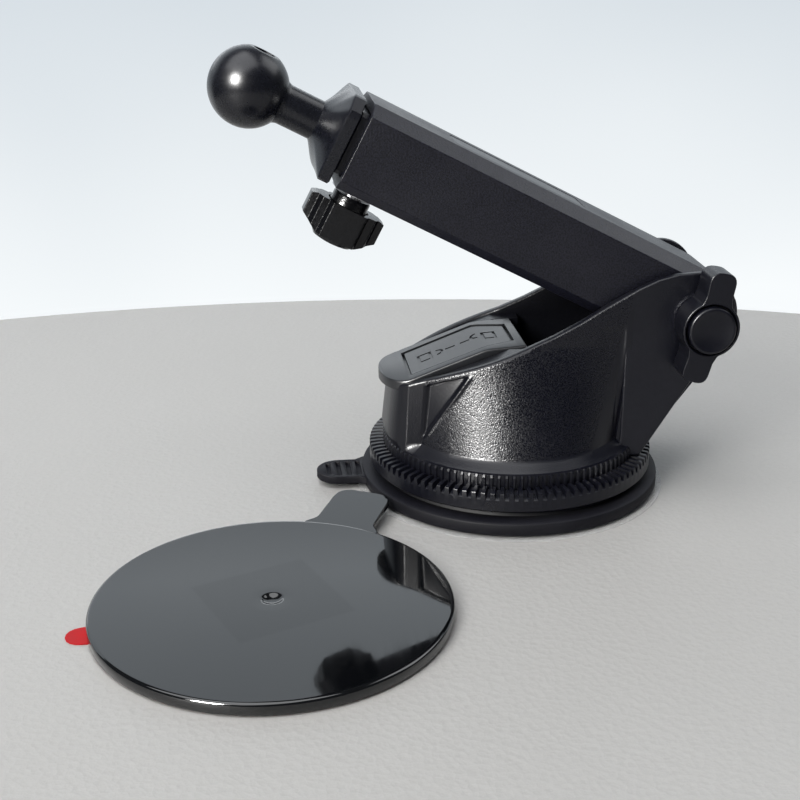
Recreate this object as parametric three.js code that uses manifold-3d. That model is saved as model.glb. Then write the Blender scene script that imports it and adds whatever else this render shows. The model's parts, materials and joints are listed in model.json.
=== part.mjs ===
// Suction-cup phone mount with a telescopic arm, and its loose stick-on mounting disc.
// Millimetres, +Z up. The origin is the centre of the suction cup, on the surface it stands on.
// The arm lies in the XZ plane: its pivot is towards +X and its ball towards -X.
import * as THREE from "three";
import { mergeVertices } from "three/addons/utils/BufferGeometryUtils.js";
import Module from "manifold-3d";

const wasm = await Module();
wasm.setup();

// ---- driving dimensions ----
const film = { radius: 35.3, thickness: 0.35 };
const cup = { rimRadius: 33.9, rimTop: 3.7, foot: 0.45 };
const cupTab = { reach: 44.4, halfWidth: 5.0, middleY: 1.4, bottom: 1.25, top: 3.0 };
const tabSlot = { count: 4, pitch: 2.25, first: 3.2, halfWidth: 0.55, margin: 1.1, depth: 0.7 };
const plate = { radius: 28.3, bottom: 5.7, top: 7.9, hole: 11.4 };
const ring = { inner: 28.8, outer: 32.1, bottom: 5.3, toothFoot: 8.3, top: 9.6 };
const tooth = { count: 100, depth: 1.3 };
const housing = { footRadius: 28.5, foot: 8.3, wall: 2.2, deckBottom: 17, deckTop: 19, halfWidth: 15.7 };
const foot = { bandTop: 11.6, neckRadius: 25.3, neckZ: 14 };
const cheekEnd = { x: 37.6, z: 43.2, radius: 8.2, bottom: 9.8 };
const channel = { halfWidth: 13.8, floor: 30.6 };
const pocket = { halfWidth: 10.9, front: -22.5, rear: 22, sill: 25.2 };
const pivot = { x: 37.9, z: 41.1, bore: 2.9, bolt: 2.5 };
const arm = {
  angle: 0.48, // above the horizontal
  front: -82.5,
  halfWidth: 13.0,
  halfHeight: 9.3,
  wall: 2.2,
  rearWall: -13.5,
};
const inlay = { front: -62.8, rear: -31.2, halfWidth: 5.0, bottomDrop: 0.7, topDrop: 0.1, gap: 0.2 };
const slider = { halfWidth: 10.5, halfHeight: 6.8, wall: 2.0, front: -84.1, rear: -22 };
const ball = { radius: 8.5, x: -106.1, neck: 4.25 };
const endPlate = {
  front: -86.8,
  back: -84.3,
  halfWidth: 12.15,
  bottom: -8.75,
  shoulder: 6.2,
  top: 9.2,
  chamfer: 2.9,
};
const clamp = { x: -76.6, collar: 4.5, hole: 3.0, bolt: 2.0, screwHole: 2.3 };
const thumb = { top: -10.9, bottom: -21.8 };
const pin = { x: 0, z: 24.4, radius: 1.5, hole: 1.8 };
const lever = { thickness: 2.2, halfWidth: 10.3, tipReach: 6 };
const cam = { locked: 5.2, dropPerRadian: 2.1, openAngle: Math.PI / 3, earInner: 5.4, earOuter: 8.4 };
const stem = { radius: 4.6, flat: 4.2, hole: 5.2 };
const screw = { head: 2.5, shank: 1.25, hole: 1.55, boss: 3.5, ringRadius: 21 };
const knob = { hub: 6.2, back: 17, face: 23.6, wingReach: 9.5, wingHalfWidth: 3.1, lean: -0.28 };
const knobCapSize = { radius: 5.2, seat: 22, top: 24.5 };
const disc = { x: -56.4, y: -57.6, radius: 34.5, bottom: 1.05, top: 3.1, tabAngle: 1.1, tabReach: 48.3 };
const liner = { radius: 33.6, thickness: 0.2, tongueAngle: 187, tongueHalfWidth: 3 };

// ---- materials ----
const paint = (color, roughness, metalness = 0) =>
  new THREE.MeshStandardMaterial({ color, roughness, metalness });
const finish = {
  grained: paint(0x17181a, 0.55),
  satin: paint(0x1d1e21, 0.38),
  gloss: paint(0x0b0d10, 0.08),
  rubber: paint(0x121213, 0.6),
  gel: paint(0x26282b, 0.25),
  clear: paint(0xe6e9ea, 0.15),
  steel: paint(0xb5b7b9, 0.35, 1),
  brass: paint(0xc9a45c, 0.35, 1),
  red: paint(0xd2232f, 0.4),
  foam: paint(0x2a2a2c, 0.9),
  nylon: paint(0xd8d6cf, 0.5),
};

// ---- solids ----
function solid(geometry) {
  const bare = geometry.index ? geometry.toNonIndexed() : geometry;
  bare.deleteAttribute("normal");
  bare.deleteAttribute("uv");
  const merged = mergeVertices(bare, 1e-4);
  return new wasm.Manifold(
    new wasm.Mesh({
      numProp: 3,
      vertProperties: merged.attributes.position.array,
      triVerts: new Uint32Array(merged.index.array),
    }),
  );
}

function geometryOf(made) {
  const mesh = made.getMesh();
  const geometry = new THREE.BufferGeometry();
  geometry.setAttribute("position", new THREE.BufferAttribute(mesh.vertProperties, 3));
  geometry.setIndex(new THREE.BufferAttribute(mesh.triVerts, 1));
  geometry.computeVertexNormals();
  return geometry;
}

function part(group, name, made, material) {
  const mesh = new THREE.Mesh(geometryOf(made), material);
  mesh.name = name;
  group.add(mesh);
}

const shapeOf = (points) => new THREE.Shape(points.map(([a, b]) => new THREE.Vector2(a, b)));

// A flat outline of x and z, as thick as y runs from low to high.
function prismY(points, low, high) {
  const geometry = new THREE.ExtrudeGeometry(shapeOf(points), { depth: high - low, bevelEnabled: false });
  return solid(geometry.rotateX(Math.PI / 2).translate(0, high, 0));
}

// A flat outline of x and y, from z low to high.
function prismZ(points, low, high) {
  const geometry = new THREE.ExtrudeGeometry(shapeOf(points), { depth: high - low, bevelEnabled: false });
  return solid(geometry.translate(0, 0, low));
}

// A flat outline of y and z, from x low to high.
function prismX(points, low, high) {
  const geometry = new THREE.ExtrudeGeometry(shapeOf(points), { depth: high - low, bevelEnabled: false });
  return solid(geometry.rotateX(Math.PI / 2).rotateZ(Math.PI / 2).translate(low, 0, 0));
}

// A profile of radius and height, turned about the Z axis; it goes up the outside.
function turned(profile, sides = 48) {
  const outline = profile.map(([r, z]) => new THREE.Vector2(r, z));
  return solid(new THREE.LatheGeometry(outline, sides).rotateX(Math.PI / 2));
}

// A closed ring profile: the first point is repeated at the end.
const turnedRing = (profile, sides = 48) => turned([...profile, profile[0]], sides);

const rod = (radius, low, high, sides = 20) =>
  turned([[0, low], [radius, low], [radius, high], [0, high]], sides);

const tube = (outer, inner, low, high, sides = 24) =>
  turnedRing([[outer, low], [outer, high], [inner, high], [inner, low]], sides);

const alongX = (made, x, y, z) => made.rotate([0, 90, 0]).translate([x, y, z]);
const alongY = (made, x, y, z) => made.rotate([90, 0, 0]).translate([x, y, z]);
const box = (x0, x1, y0, y1, z0, z1) => prismZ([[x0, y0], [x1, y0], [x1, y1], [x0, y1]], z0, z1);

function arc(x, y, radius, from, to, steps) {
  return Array.from({ length: steps + 1 }, (_, i) => {
    const angle = from + ((to - from) * i) / steps;
    return [x + radius * Math.cos(angle), y + radius * Math.sin(angle)];
  });
}

// A skin through outlines of equal point counts, closed at both ends.
function loft(sections) {
  const count = sections[0].length;
  const points = sections.flat();
  const faces = [];
  for (let level = 0; level < sections.length - 1; level++) {
    for (let i = 0; i < count; i++) {
      const a = level * count + i;
      const b = level * count + ((i + 1) % count);
      faces.push(a, b, b + count, a, b + count, a + count);
    }
  }
  const top = (sections.length - 1) * count;
  for (let i = 1; i < count - 1; i++) {
    faces.push(0, i + 1, i);
    faces.push(top, top + i, top + i + 1);
  }
  const geometry = new THREE.BufferGeometry();
  geometry.setAttribute("position", new THREE.BufferAttribute(new Float32Array(points.flat()), 3));
  geometry.setIndex(faces);
  return solid(geometry);
}

// ---- suction base ----
function protectiveFilm() {
  return rod(film.radius, 0, film.thickness, 48);
}

function gelLayer() {
  const under = [[0, 2.3], [10, 1.7], [20, 0.75], [31.1, 0.5]];
  return turned([...under, [30.9, 1.15], [20, 1.6], [10, 2.6], [0, 3.1]], 48);
}

function suctionCup() {
  const underside = [[0, 3.7], [10, 3.2], [20, 2.1], [30.6, 1.6], [31.6, cup.foot], [33.1, cup.foot]];
  const lip = [[cup.rimRadius, 1.6], [cup.rimRadius, 2.9], [33.2, cup.rimTop], [30, 4.0]];
  const back = [[29.4, 5.2], [12, 5.3], [10, 5.8], [0, 5.8]];
  const skirt = turned([...underside, ...lip, ...back], 48);
  const { reach, halfWidth: w, middleY: y, bottom, top } = cupTab;
  const round = arc(w - reach, y, w, Math.PI / 2, (3 * Math.PI) / 2, 10);
  let tab = prismZ([[-33, y - w], [-33, y + w], ...round], bottom, top);
  const reachY = w - tabSlot.margin;
  for (let i = 0; i < tabSlot.count; i++) {
    const x = tabSlot.first - reach + i * tabSlot.pitch;
    const { halfWidth, depth } = tabSlot;
    tab = tab.subtract(box(x - halfWidth, x + halfWidth, y - reachY, y + reachY, top - depth, top + 1));
  }
  const clearOfDome = turned([[0, -1], [32, -1], [32, 6], [0, 6]], 48);
  return skirt.add(tab.subtract(clearOfDome));
}

const screwPlaces = [0, 1, 2, 3].map((i) => {
  const angle = Math.PI / 4 + (i * Math.PI) / 2;
  return [screw.ringRadius * Math.cos(angle), screw.ringRadius * Math.sin(angle)];
});

function basePlate() {
  let made = tube(plate.radius, plate.hole, plate.bottom, plate.top, 48);
  for (const [x, y] of screwPlaces) {
    made = made.subtract(rod(screw.hole, 5, 9, 12).translate([x, y, 0]));
    made = made.subtract(rod(screw.head + 0.3, 5, 6.7, 12).translate([x, y, 0]));
  }
  return made;
}

function housingScrew([x, y]) {
  const { head, shank } = screw;
  const profile = [[0, 5.8], [head, 5.8], [head, 6.4], [shank, 6.4], [shank, 14.5], [0, 15]];
  return turned(profile, 12).translate([x, y, 0]);
}

function toothedRing() {
  const { outer, inner } = ring;
  const outline = Array.from({ length: 2 * tooth.count }, (_, i) => {
    const radius = i % 2 ? outer - tooth.depth : outer;
    const angle = (Math.PI * i) / tooth.count;
    return [radius * Math.cos(angle), radius * Math.sin(angle)];
  });
  const crown = prismZ(outline, ring.toothFoot, ring.top);
  const body = rod(outer, ring.bottom, ring.toothFoot + 0.01, 2 * tooth.count);
  return crown.add(body).subtract(rod(inner, 5, 11, 64));
}

// ---- housing ----
const rimSide = [
  [32.7, 51.1], [28.4, 50.1], [24.2, 48.3], [20, 46], [11.5, 41.2],
  [6, 38.6], [0, 36], [-12, 31.6], [-24, 27.4],
];

// Side view of the housing: sloping rear edge, round pivot end, and the rim falling to the nose.
function sideOutline() {
  const end = arc(cheekEnd.x, cheekEnd.z, cheekEnd.radius, -0.62, Math.PI / 2, 8);
  return [[26.5, housing.foot], [26.5, 10], ...end, ...rimSide, [-29.3, 26], [-29.3, housing.foot]];
}

// One side of the rim's plan at shoulder height, from the nose to where the flat cheek starts.
const rimPlan = [
  [-26.3, -5], [-25.8, -9], [-24, -10.8], [-18, -12.6], [-12, -14.6],
  [-6, -15.9], [-1, -16.5], [5, -16.3], [12, -16.1], [21, -15.9],
];

// The body flares from the narrow rim to the round foot: a ruled skin between rim and circle.
function flaredBody() {
  const mirrored = rimPlan.map(([x, y]) => [x, -y]).reverse();
  const rim = [...rimPlan, ...mirrored];
  const onCircle = (radius, z) =>
    rim.map(([x, y]) => [radius * Math.cos(Math.atan2(y, x)), radius * Math.sin(Math.atan2(y, x)), z]);
  const atHeight = (z) => rim.map(([x, y]) => [x, y, z]);
  const { bandTop, neckRadius, neckZ } = foot;
  const lower = [onCircle(neckRadius + 0.3, 12), onCircle(neckRadius, neckZ)];
  const skirt = loft([...lower, atHeight(36), atHeight(52)]);
  const { footRadius } = housing;
  const band = turned([[0, 7], [footRadius, 7], [footRadius, bandTop], [neckRadius, neckZ], [0, neckZ]], 56);
  return skirt.add(band);
}

function noseOutline(x, halfWidth) {
  const corner = 5.5;
  return [
    [0, -halfWidth],
    [0, halfWidth],
    ...arc(x + corner, halfWidth - corner, corner, Math.PI / 2, Math.PI * 0.85, 4),
    [x, 0],
    ...arc(x + corner, corner - halfWidth, corner, Math.PI * 1.15, Math.PI * 1.5, 4),
  ];
}

function nose() {
  const level = (x, halfWidth, z) => noseOutline(x, halfWidth).map(([a, b]) => [a, b, z]);
  return loft([level(-28.7, 13.2, 9.9), level(-29, 13, 14), level(-27.6, 12, 20), level(-26.6, 11.8, 32)]);
}

function housingShell() {
  const { wall, halfWidth, deckBottom, deckTop } = housing;
  const cheeks = box(-10, 50, -halfWidth, halfWidth, cheekEnd.bottom, 52);
  let made = flaredBody().add(nose()).add(cheeks).intersect(prismY(sideOutline(), -30, 30));
  // hollow under the deck, open at the foot
  const inside = turned([[0, 7], [26, 7], [26, 11], [23.1, 13.6], [21.3, deckBottom], [0, deckBottom]], 48);
  let under = inside.intersect(prismY([[-40, 7], [24.5, 7], [24.5, deckBottom], [-40, deckBottom]], -30, 30));
  for (const [x, y] of screwPlaces) {
    under = under.subtract(rod(screw.boss, 7, deckBottom, 16).translate([x, y, 0]));
  }
  made = made.subtract(under);
  for (const [x, y] of screwPlaces) {
    made = made.subtract(rod(screw.hole, 7, 15.3, 12).translate([x, y, 0]));
  }
  // lever pocket over the deck, and the arm's channel behind it
  const { halfWidth: p, front, rear: pocketRear, sill } = pocket;
  made = made.subtract(box(front, pocketRear, -p, p, deckTop, 60));
  made = made.subtract(box(-40, front + 0.5, -p, p, sill, 60));
  const { halfWidth: c, floor } = channel;
  const back = [[4, 22], [20.5, 22], [27, floor], [60, floor], [60, 60], [-14, 60], [-14, 34.5], [4, 34.5]];
  made = made.subtract(prismY(back, -c, c));
  // hollow behind the mechanism, open at the foot
  const rear = [[20, 6], [24.6, 6], [24.6, 11.2], [36.6, 27.2], [29, 27.2], [20, 16.2]];
  made = made.subtract(prismY(rear, wall - halfWidth, halfWidth - wall));
  // stem hole and pivot bore
  made = made.subtract(rod(stem.hole, 15, 21, 24));
  made = made.subtract(alongY(rod(pivot.bore, -20, 20, 20), pivot.x, 0, pivot.z));
  return made;
}

// ---- lock lever and its suction stem ----
const leverTop = [[-30, 27.6], [-25, 28], [-8, 34.3], [1.2, 35]];
const pinBore = () => alongY(rod(pin.hole, -12, 12, 16), pin.x, 0, pin.z);

// A band that follows the lever's top, from one depth below it to another.
function leverBand(upper, lower, w) {
  const top = leverTop.map(([x, z]) => [x, z - upper]);
  const under = leverTop.map(([x, z]) => [x, z - lower]);
  return prismY([...under, ...top.reverse()], -w, w);
}

// The finger tip of the lever: a wide arc from side to side.
function leverTip() {
  const { halfWidth: w, tipReach: reach } = lever;
  const radius = (w * w + reach * reach) / (2 * reach);
  const half = Math.asin(w / radius);
  return arc(radius - 30, 0, radius, Math.PI - half, Math.PI + half, 10).slice(1, -1);
}

function leverPlate() {
  const { halfWidth: w, thickness } = lever;
  const plan = [[2, -w], [2, w], [-24, w], ...leverTip(), [-24, -w]];
  const outline = prismZ(plan.reverse(), 20, 40);
  const hexagon = [[-23.2, -7.4], [-8, -7.8], [-1.2, -5.6], [-1.2, 5.6], [-8, 7.8], [-23.2, 7.4]];
  const groove = prismZ(hexagon, 20, 40);
  return leverBand(0, thickness, w).intersect(outline).subtract(groove.intersect(leverBand(0, 0.6, w)));
}

// The spiral bears on the deck: its lowest point rises toward the pin as the lever opens.
function camOutline() {
  const { x, z } = pin;
  const { locked, dropPerRadian: drop, openAngle } = cam;
  const steps = 8;
  const spiral = Array.from({ length: steps + 1 }, (_, i) => {
    const turn = (openAngle * i) / steps;
    const reach = locked - drop * turn;
    const [s, c] = [Math.sin(turn), Math.cos(turn)];
    return [x + reach * s - drop * c, z - reach * c - drop * s];
  });
  const ear = [[x + 2.6, z - 1.2], [x + 2.8, z + 2], [1, 32.4], [-10, 32], [-6, 25], [x - 4.6, z - 2.4]];
  return [...spiral, ...ear];
}

function lockLever() {
  let made = leverPlate();
  for (const low of [-cam.earOuter, cam.earInner]) {
    made = made.add(prismY(camOutline(), low, low + cam.earOuter - cam.earInner));
  }
  return made.subtract(pinBore());
}

function leverPanel() {
  const plan = [[-22.6, -6.8], [-8, -7.2], [-1.8, -5.2], [-1.8, 5.2], [-8, 7.2], [-22.6, 6.8]];
  return leverBand(0.1, 0.5, 9).intersect(prismZ(plan, 20, 40));
}

function suctionStem() {
  const { radius, flat } = stem;
  let made = turned([[0, 6.0], [10.6, 6.0], [10.6, 7.2], [radius, 8.4], [radius, 27.6], [0, 27.6]], 24);
  made = made.subtract(box(-9, 9, flat, 9, 15, 30)).subtract(box(-9, 9, -9, -flat, 15, 30));
  return made.subtract(pinBore());
}

// ---- arm, in its own frame: origin on the pivot, +X away from the ball ----
function sleeveSection(w, h) {
  const below = [[-w + 2, -h], [w - 2, -h], [w, -h + 2]];
  return [...below, [w, h - 2.4], [w - 4.2, h], [4.2 - w, h], [-w, h - 2.4], [-w, -h + 2]];
}

function armSleeve() {
  const { front, halfWidth: w, halfHeight: h, wall, rearWall } = arm;
  const rearEnd = arc(0, 0, h, -Math.PI / 2, Math.PI / 2, 12);
  const sideView = [[front, -h], ...rearEnd, [front, h]];
  let made = prismX(sleeveSection(w, h), front, 12).intersect(prismY(sideView, -w - 1, w + 1));
  made = made.subtract(box(front - 1, rearWall, wall - w, w - wall, wall - h, h - wall));
  made = made.subtract(alongY(rod(4.6, -w - 1, w + 1, 24), 0, 0, 0));
  const { gap, halfWidth: half } = inlay;
  made = made.subtract(box(inlay.front - gap, inlay.rear + gap, -half - gap, half + gap, h - 0.8, h + 1));
  return made.subtract(rod(clamp.hole, -h - 1, wall - h + 1, 20).translate([clamp.x, 0, 0]));
}

function topInlay() {
  const { front, rear, halfWidth: w, bottomDrop, topDrop } = inlay;
  return box(front, rear, -w, w, arm.halfHeight - bottomDrop, arm.halfHeight - topDrop);
}

function slideTube() {
  const { halfWidth: w, halfHeight: h, wall, front, rear } = slider;
  const below = [[-w, 1 - h], [1 - w, -h], [w - 1, -h], [w, 1 - h]];
  const outer = prismX([...below, [w, h - 1], [w - 1, h], [1 - w, h], [-w, h - 1]], front, rear);
  let made = outer.subtract(box(front + 3, rear + 1, wall - w, w - wall, wall - h, h - wall));
  // groove that the clamp screw presses in
  made = made.subtract(box(front + 2.5, rear - 6, -3.2, 3.2, -h - 1, -h + 0.8));
  return made.subtract(alongX(rod(1.7, -2, 8, 12), front, 0, 0));
}

// The end plate's outline in y and z, shrunk all round by a rim.
function plateOutline(rim) {
  const { halfWidth, bottom, shoulder, top, chamfer } = endPlate;
  const [w, low, high] = [halfWidth, bottom + rim, top - rim];
  return [[-w, low], [w, low], [w, shoulder], [w - chamfer, high], [chamfer - w, high], [-w, shoulder]];
}

function ballHead() {
  const { radius, x, neck } = ball;
  const { front, back } = endPlate;
  let made = solid(new THREE.SphereGeometry(radius, 24, 16).translate(x, 0, 0));
  made = made.subtract(box(x - 3.3, x + 3.3, -2.6, 2.6, radius - 0.9, radius + 1));
  made = made.add(alongX(rod(neck, 0, 18, 24), x + 3, 0, 0));
  made = made.add(prismX(plateOutline(0), front, back));
  const small = [[-3.3, -3.4], [3.3, -3.4], [3.6, 2.6], [3, 3.6], [-3, 3.6], [-3.6, 2.6]];
  const atX = (outline, at) => outline.map(([a, b]) => [at, a, b]);
  const flare = loft([atX(small, front - 4.2), atX(plateOutline(0.05), front + 0.3)]);
  made = made.add(flare);
  return made.subtract(alongX(rod(1.3, 0, 10, 12), back - 9.5, 0, 0));
}

function headScrew() {
  const profile = [[0, 0], [1.1, 0], [1.1, 11.9], [2.8, 11.9], [2.8, 13.7], [0, 13.7]];
  return alongX(turned(profile, 12), endPlate.back - 8.5, 0, 0);
}

function glideBlock() {
  const { rear } = slider;
  return box(rear - 9.5, rear - 0.5, -8.1, 8.1, -4.4, 4.4).subtract(box(rear - 12, rear + 2, -4, 4, -2, 2));
}

function clampInsert() {
  const rim = clamp.collar + 0.7;
  const { screwHole } = clamp;
  const sleeve = [[2.7, -9.6], [2.7, -7.4], [screwHole, -7.4], [screwHole, -10.4]];
  const profile = [[rim, -10.4], [rim, -9.6], ...sleeve];
  return turnedRing(profile, 24).translate([clamp.x, 0, 0]);
}

function thumbKnob() {
  const wing = (side) => [[side * 3, -2.5], [side * 8.5, -1.8], [side * 8.5, 1.8], [side * 3, 2.5]];
  const ordered = (points, side) => (side > 0 ? points : [...points].reverse());
  const { top, bottom } = thumb;
  const skirt = [[0, bottom], [4.4, bottom], [5.9, bottom + 1.4], [5.9, -13.4]];
  const hub = [...skirt, [4.2, -13.2], [4.2, top], [0, top]];
  let made = turned(hub, 24);
  for (const side of [-1, 1]) {
    made = made.add(prismZ(ordered(wing(side), side), bottom + 1.4, -13));
  }
  return made.subtract(rod(clamp.screwHole, -18, -10, 16)).translate([clamp.x, 0, 0]);
}

function thumbBolt() {
  return rod(clamp.bolt, -17.7, -7.9, 16).translate([clamp.x, 0, 0]);
}

function clampPad() {
  return rod(2.2, -7.6, -6.4, 16).translate([clamp.x, 0, 0]);
}

// ---- pivot hardware, along Y ----
const atPivot = (made) => alongY(made, pivot.x, 0, pivot.z);

// The wings lean with the knob; alongY turns +Y of the outline to +Z and +Z to -Y.
function pivotKnob() {
  const { hub, back, face, wingReach, wingHalfWidth: w, lean } = knob;
  const wing = [[-3.6, 0], [3.6, 0], ...arc(0, wingReach, w, 0, Math.PI, 6)];
  let made = rod(hub, back, face, 32);
  for (const turn of [0, 180]) {
    made = made.add(prismZ(wing, back + 0.2, face - 0.2).rotate([0, 0, turn + (lean * 180) / Math.PI]));
  }
  const boltHole = rod(2.8, 16, 23, 16);
  const nutPocket = rod(4.6, 18.6, 23, 6);
  const capSeat = rod(knobCapSize.radius + 0.3, 21.8, 25, 32);
  return atPivot(made.subtract(capSeat).subtract(boltHole).subtract(nutPocket));
}

function knobCap() {
  const { radius: r, seat, top } = knobCapSize;
  return atPivot(turned([[0, seat], [r, seat], [r, top - 0.3], [r - 0.4, top], [0, top]], 32));
}

// ---- stick-on disc ----
function mountingDisc() {
  const { radius: r, bottom, top, tabAngle, tabReach: end } = disc;
  const edge = [[0, bottom], [r - 0.6, bottom], [r, bottom + 0.6], [r, top - 0.7], [r - 0.7, top]];
  const dimple = [[1.8, top], [1.2, top - 0.7], [0, top - 0.7]];
  const body = turned([...edge, ...dimple], 56);
  const corner = 3.6;
  const low = arc(end - corner, -corner, corner, -Math.PI / 2, 0, 5);
  const high = arc(end - corner, corner, corner, 0, Math.PI / 2, 5);
  const neck = [[r - 3, -7.6], [r + 2.5, -5.6], ...low, ...high, [r + 2.5, 5.6], [r - 3, 7.6]];
  const tab = prismZ(neck, bottom + 0.2, top - 0.5).rotate([0, 0, (tabAngle * 180) / Math.PI]);
  return body.add(tab).translate([disc.x, disc.y, 0]);
}

function redLiner() {
  const { radius, thickness, tongueAngle, tongueHalfWidth: w } = liner;
  const tab = [[30, -w - 0.4], ...arc(35.4, 0, w, -Math.PI / 2, Math.PI / 2, 8), [30, w + 0.4]];
  const tongue = prismZ(tab, 0, thickness).rotate([0, 0, tongueAngle]);
  return rod(radius, 0, thickness, 48).add(tongue).translate([disc.x, disc.y, 0]);
}

// ---- return spring around the stem: one closed round-wire solid ----
function returnSpring() {
  const [radius, low, high, turns, wire] = [7.4, 8.6, 16.4, 3.5, 0.6];
  const points = Array.from({ length: 43 }, (_, i) => {
    const t = i / 42;
    const angle = t * turns * 2 * Math.PI;
    return new THREE.Vector3(radius * Math.cos(angle), radius * Math.sin(angle), low + t * (high - low));
  });
  const path = new THREE.CatmullRomCurve3(points);
  const section = shapeOf(arc(0, 0, wire, 0, 2 * Math.PI, 6).slice(0, -1));
  return solid(new THREE.ExtrudeGeometry(section, { steps: 42, extrudePath: path, bevelEnabled: false }));
}

// ---- assembly ----
const group = new THREE.Group();
group.name = "phone_mount";

part(group, "protective_film", protectiveFilm(), finish.clear);
part(group, "gel_layer", gelLayer(), finish.gel);
part(group, "suction_cup", suctionCup(), finish.rubber);
part(group, "base_plate", basePlate(), finish.satin);
screwPlaces.forEach((place, i) => {
  part(group, "housing_screw_" + (i + 1), housingScrew(place), finish.steel);
});
part(group, "toothed_ring", toothedRing(), finish.satin);
part(group, "housing", housingShell(), finish.grained);
part(group, "return_spring", returnSpring(), finish.steel);

part(group, "suction_stem", suctionStem(), finish.nylon);
const leverPin = alongY(rod(pin.radius, -8.2, 8.2, 16), pin.x, 0, pin.z);
part(group, "lever_pin", leverPin, finish.steel);
part(group, "lock_lever", lockLever(), finish.satin);
part(group, "lever_panel", leverPanel(), finish.grained);

const armGroup = new THREE.Group();
armGroup.position.set(pivot.x, 0, pivot.z);
armGroup.rotation.y = arm.angle;
part(armGroup, "arm_sleeve", armSleeve(), finish.grained);
part(armGroup, "top_inlay", topInlay(), finish.satin);
part(armGroup, "pivot_bush", alongY(tube(4.2, 2.9, -12.9, 12.9, 24), 0, 0, 0), finish.steel);
part(armGroup, "clamp_insert", clampInsert(), finish.steel);
part(armGroup, "slide_tube", slideTube(), finish.satin);
part(armGroup, "ball_head", ballHead(), finish.satin);
part(armGroup, "head_screw", headScrew(), finish.steel);
part(armGroup, "glide_block", glideBlock(), finish.nylon);
part(armGroup, "thumb_knob", thumbKnob(), finish.gloss);
part(armGroup, "thumb_bolt", thumbBolt(), finish.steel);
part(armGroup, "clamp_pad", clampPad(), finish.nylon);
group.add(armGroup);

part(group, "friction_washer_near", atPivot(tube(7.5, 2.9, 13.15, 13.65)), finish.nylon);
part(group, "friction_washer_far", atPivot(tube(7.5, 2.9, -13.65, -13.15)), finish.nylon);
const pivotBolt = rod(5.2, -19, -16.6, 6).add(rod(pivot.bolt, -17, 21.3, 20));
part(group, "pivot_bolt", atPivot(pivotBolt), finish.steel);
part(group, "bolt_washer", atPivot(tube(6, 2.9, -16.4, -15.9)), finish.steel);
part(group, "knob_washer", atPivot(tube(5.6, 2.9, 16, 16.7)), finish.steel);
part(group, "knob_nut", atPivot(rod(4.2, 18.8, 21.5, 6).subtract(rod(2.8, 18, 22, 16))), finish.brass);
part(group, "pivot_knob", pivotKnob(), finish.satin);
part(group, "knob_cap", knobCap(), finish.satin);

part(group, "mounting_disc", mountingDisc(), finish.gloss);
part(group, "adhesive_pad", rod(33.4, 0.25, 1, 48).translate([disc.x, disc.y, 0]), finish.foam);
part(group, "red_liner", redLiner(), finish.red);

export default group;
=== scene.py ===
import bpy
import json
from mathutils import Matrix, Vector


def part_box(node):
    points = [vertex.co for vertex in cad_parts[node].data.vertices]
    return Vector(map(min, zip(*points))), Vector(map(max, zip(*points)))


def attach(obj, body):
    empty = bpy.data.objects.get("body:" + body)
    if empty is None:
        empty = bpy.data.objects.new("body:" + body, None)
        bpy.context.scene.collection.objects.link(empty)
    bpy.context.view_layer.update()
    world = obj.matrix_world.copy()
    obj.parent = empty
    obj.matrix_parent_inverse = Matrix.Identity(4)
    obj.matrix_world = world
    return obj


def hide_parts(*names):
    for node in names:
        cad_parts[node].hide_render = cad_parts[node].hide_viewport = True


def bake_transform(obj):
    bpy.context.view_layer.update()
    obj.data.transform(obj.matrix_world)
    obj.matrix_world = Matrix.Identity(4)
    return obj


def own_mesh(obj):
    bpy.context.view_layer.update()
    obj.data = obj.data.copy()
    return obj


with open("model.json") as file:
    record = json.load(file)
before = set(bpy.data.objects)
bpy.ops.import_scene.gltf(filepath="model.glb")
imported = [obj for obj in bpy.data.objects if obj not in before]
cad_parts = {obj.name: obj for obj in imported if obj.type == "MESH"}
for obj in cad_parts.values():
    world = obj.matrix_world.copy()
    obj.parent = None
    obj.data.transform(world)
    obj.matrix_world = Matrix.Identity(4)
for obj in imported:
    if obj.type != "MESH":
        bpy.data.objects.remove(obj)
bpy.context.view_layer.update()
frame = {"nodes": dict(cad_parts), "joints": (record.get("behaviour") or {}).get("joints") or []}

import json
import math
import bpy
import bmesh
from mathutils import Matrix, Vector

# Phone mount: suction base, lever, telescopic arm with a ball, two knobs and a loose stick-on disc.
# Everything is drawn in millimetres and turned to metres when the meshes are made.
mm = 0.001
tau = 2 * math.pi


# where things are, read from the frame

def boxMm(node):
    low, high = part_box(node)
    return [v / mm for v in low], [v / mm for v in high]


def middleMm(node):
    low, high = boxMm(node)
    return [(a + b) / 2 for a, b in zip(low, high)]


def jointOf(name):
    return next(j for j in frame["joints"] if j["name"] == name)


pivotAt = middleMm("pivot_bush")
slideWay = jointOf("arm_extend")["axis"]
armTurn = math.atan2(slideWay[2], -slideWay[0])  # how far the arm leans above level


def armPlace(p):
    # arm drawing: origin on the pivot, -X towards the ball
    x, y, z = p
    c, s = math.cos(armTurn), math.sin(armTurn)
    return (pivotAt[0] + x * c + z * s, y, pivotAt[2] - x * s + z * c)


def placeOnArm(obj, shift=0.0):
    # a piece drawn on the arm's own axes, moved to where the arm is
    for v in obj.data.vertices:
        x, y, z = (c / mm for c in v.co)
        v.co = Vector(armPlace((x + shift, y, z))) * mm


def armSpan(node):
    # lowest and highest x, y and z of a node in the arm's own drawing
    c, s = math.cos(armTurn), math.sin(armTurn)
    found = []
    for v in frame["nodes"][node].data.vertices:
        x, z = v.co.x / mm - pivotAt[0], v.co.z / mm - pivotAt[2]
        found.append((x * c - z * s, v.co.y / mm, x * s + z * c))
    return [min(f[i] for f in found) for i in range(3)], [max(f[i] for f in found) for i in range(3)]


# drawing helpers: a form is a list of points and a list of faces

def moved(form, place):
    return [place(p) for p in form[0]], form[1]


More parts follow.
